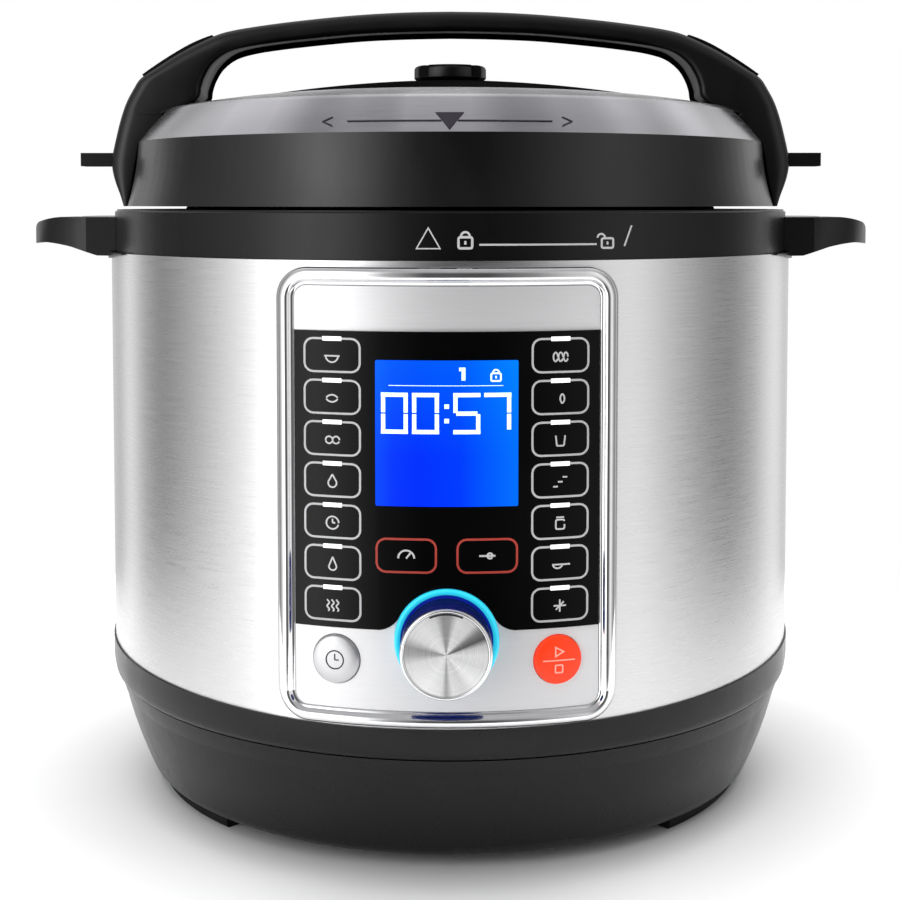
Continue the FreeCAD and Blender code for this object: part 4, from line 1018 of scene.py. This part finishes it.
def handle():
    """The arched lid handle, one smooth sweep from foot to foot."""
    steps = 5
    outer, inner = smooth_line(OUTER, steps), smooth_line(INNER, steps)
    sections = [handle_section(far, near, HANDLE_HALF_WIDTH) for far, near in zip(outer, inner)]
    for section in reversed(sections[:-1]):
        sections.append([Vector((-spot.x, spot.y, spot.z)) for spot in section])
    count = len(sections[0])
    points = [spot for section in sections for spot in section]
    faces = band_faces(len(sections), count, wrap=False)
    faces.append(tuple(reversed(range(count))))
    last = (len(sections) - 1) * count
    faces.append(tuple(range(last, last + count)))
    item = mesh_piece("handle_arch", points, faces, "handle", "lid")
    keep_crisp(item)
    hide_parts("lid_handle")


# ---------------------------------------------------------------- body details

BEAD, BEAD_INSET, BEAD_DROP = 0.42 * MM, 0.45 * MM, 0.3 * MM


def shell_edge():
    """The bright rolled edge at the top of the steel shell."""
    turns = [math.tau * step / 10 for step in range(10)]
    radius, z = SHELL_HIGH.x - BEAD_INSET, SHELL_HIGH.z - BEAD_DROP
    profile = [(radius + BEAD * math.cos(turn), z + BEAD * math.sin(turn)) for turn in turns]
    lathe("shell_top_edge", profile, "chrome", "cooker", steps=160)


# How far each CAD node's edges are rounded, in millimetres.
ROUNDING = {
    "side_handle_left side_handle_right": 2.4,
    "rest_tab_left rest_tab_right valve_knob collector_cup inlet_socket": 0.6,
    "foot_1 foot_2 foot_3 foot_4": 2.2,
}


def soften_nodes():
    """Round the edges of the CAD nodes that are kept as they are."""
    for names, width in ROUNDING.items():
        for name in names.split():
            soften(name, width * MM)


# ---------------------------------------------------------------- studio

FLOOR_RADIUS = 0.44
FLOOR_COLOUR = (0.93, 0.93, 0.93, 1)


def floor():
    """A pale round table, small enough that the steel wall mirrors the panels of light beyond it."""
    steps = 96
    turns = [math.tau * step / steps for step in range(steps)]
    rim = [(FLOOR_RADIUS * math.cos(turn), FLOOR_RADIUS * math.sin(turn), 0) for turn in turns]
    data = bpy.data.meshes.new("floor")
    data.from_pydata(rim, [], [tuple(range(steps))])
    item = bpy.data.objects.new("floor", data)
    SCENE.collection.objects.link(item)
    made, tree, shader = new_material("floor_white")
    shader.inputs["Base Color"].default_value = FLOOR_COLOUR
    shader.inputs["Roughness"].default_value = 0.7
    item.data.materials.append(made)


LAMP_PLACE, LAMP_SIZE, LAMP_POWER = (0, 0.1, 1.9), (2.4, 1.6), 46


def lamp():
    """One large soft light above, aimed at the foot of the object; shiny parts don't mirror it."""
    data = bpy.data.lights.new("top_box", "AREA")
    data.shape = "RECTANGLE"
    data.size, data.size_y = LAMP_SIZE
    data.energy = LAMP_POWER
    item = bpy.data.objects.new("top_box", data)
    item.location = LAMP_PLACE
    item.rotation_euler = (-Vector(LAMP_PLACE)).to_track_quat("-Z", "Y").to_euler()
    item.visible_glossy = False
    SCENE.collection.objects.link(item)


# Angle round the compass in degrees, with the front at 0, and how bright the panels are there.
HORIZON = ((-180, 0.9), (-160, 0.75), (-144, 0.5), (-132, 1.05), (-120, 0.45), (-108, 0.24), (-90, 0.5),
           (-78, 0.8), (-64, 1.2), (-52, 2.6), (-42, 3.4), (-32, 2.0), (-20, 0.5), (-8, 0.1), (12, 0.08),
           (26, 0.25), (44, 0.75), (61, 1.0), (76, 0.63), (92, 0.33), (104, 0.25), (119, 0.5), (128, 0.8),
           (138, 1.0), (151, 0.6), (166, 0.9), (180, 0.9))
BRIGHTEST = max(level for degrees, level in HORIZON)
# The ceiling's tone from the front to the back.
CEILING = ((0.0, (0.45, 0.45, 0.46)), (0.3, (0.55, 0.55, 0.56)), (1.0, (1.0, 1.0, 1.0)))
CEILING_FRONT, CEILING_BACK = -0.1, 0.4
PANEL_TOP, CEILING_EDGE = 0.45, 0.85
PAPER = (1, 1, 1, 1)


def surroundings():
    """Soft panels of light round the object, as one ramp over the compass, with an even ceiling."""
    world = bpy.data.worlds.new("studio")
    world.use_nodes = True
    SCENE.world = world
    tree = world.node_tree
    sky = tree.nodes["Background"]
    parts = axes(tree, "Generated")
    ahead = node(tree, "ShaderNodeMath", operation="MULTIPLY")
    ahead.inputs[1].default_value = -1
    tree.links.new(parts["Y"], ahead.inputs[0])
    angle = bearing(tree, parts["X"], ahead.outputs["Value"])
    around = spread(tree, angle, 0, 1, -math.pi, math.pi)
    stops = [((degrees + 180) / 360, (level / BRIGHTEST,) * 3) for degrees, level in HORIZON]
    panels = ramp(tree, around, stops)
    bright = node(tree, "ShaderNodeVectorMath", operation="SCALE")
    bright.inputs["Scale"].default_value = BRIGHTEST
    tree.links.new(panels, bright.inputs[0])
    height = spread(tree, parts["Z"], 0, 1, PANEL_TOP, CEILING_EDGE)
    mix = node(tree, "ShaderNodeMix", data_type="RGBA")
    tree.links.new(height, mix.inputs["Factor"])
    tree.links.new(bright.outputs["Vector"], mix.inputs[6])
    overhead = ramp(tree, spread(tree, parts["Y"], 0, 1, CEILING_FRONT, CEILING_BACK), CEILING)
    tree.links.new(overhead, mix.inputs[7])
    seen = node(tree, "ShaderNodeLightPath")
    paper = node(tree, "ShaderNodeMix", data_type="RGBA")
    tree.links.new(seen.outputs["Is Camera Ray"], paper.inputs["Factor"])
    tree.links.new(mix.outputs[2], paper.inputs[6])
    paper.inputs[7].default_value = PAPER
    tree.links.new(paper.outputs[2], sky.inputs["Color"])


bezel()
key_graphics()
display_graphics()
light_ring()
knob()
buttons()
collar_marks()
lid_marks()
handle()
shell_edge()
soften_nodes()
surroundings()
floor()
lamp()
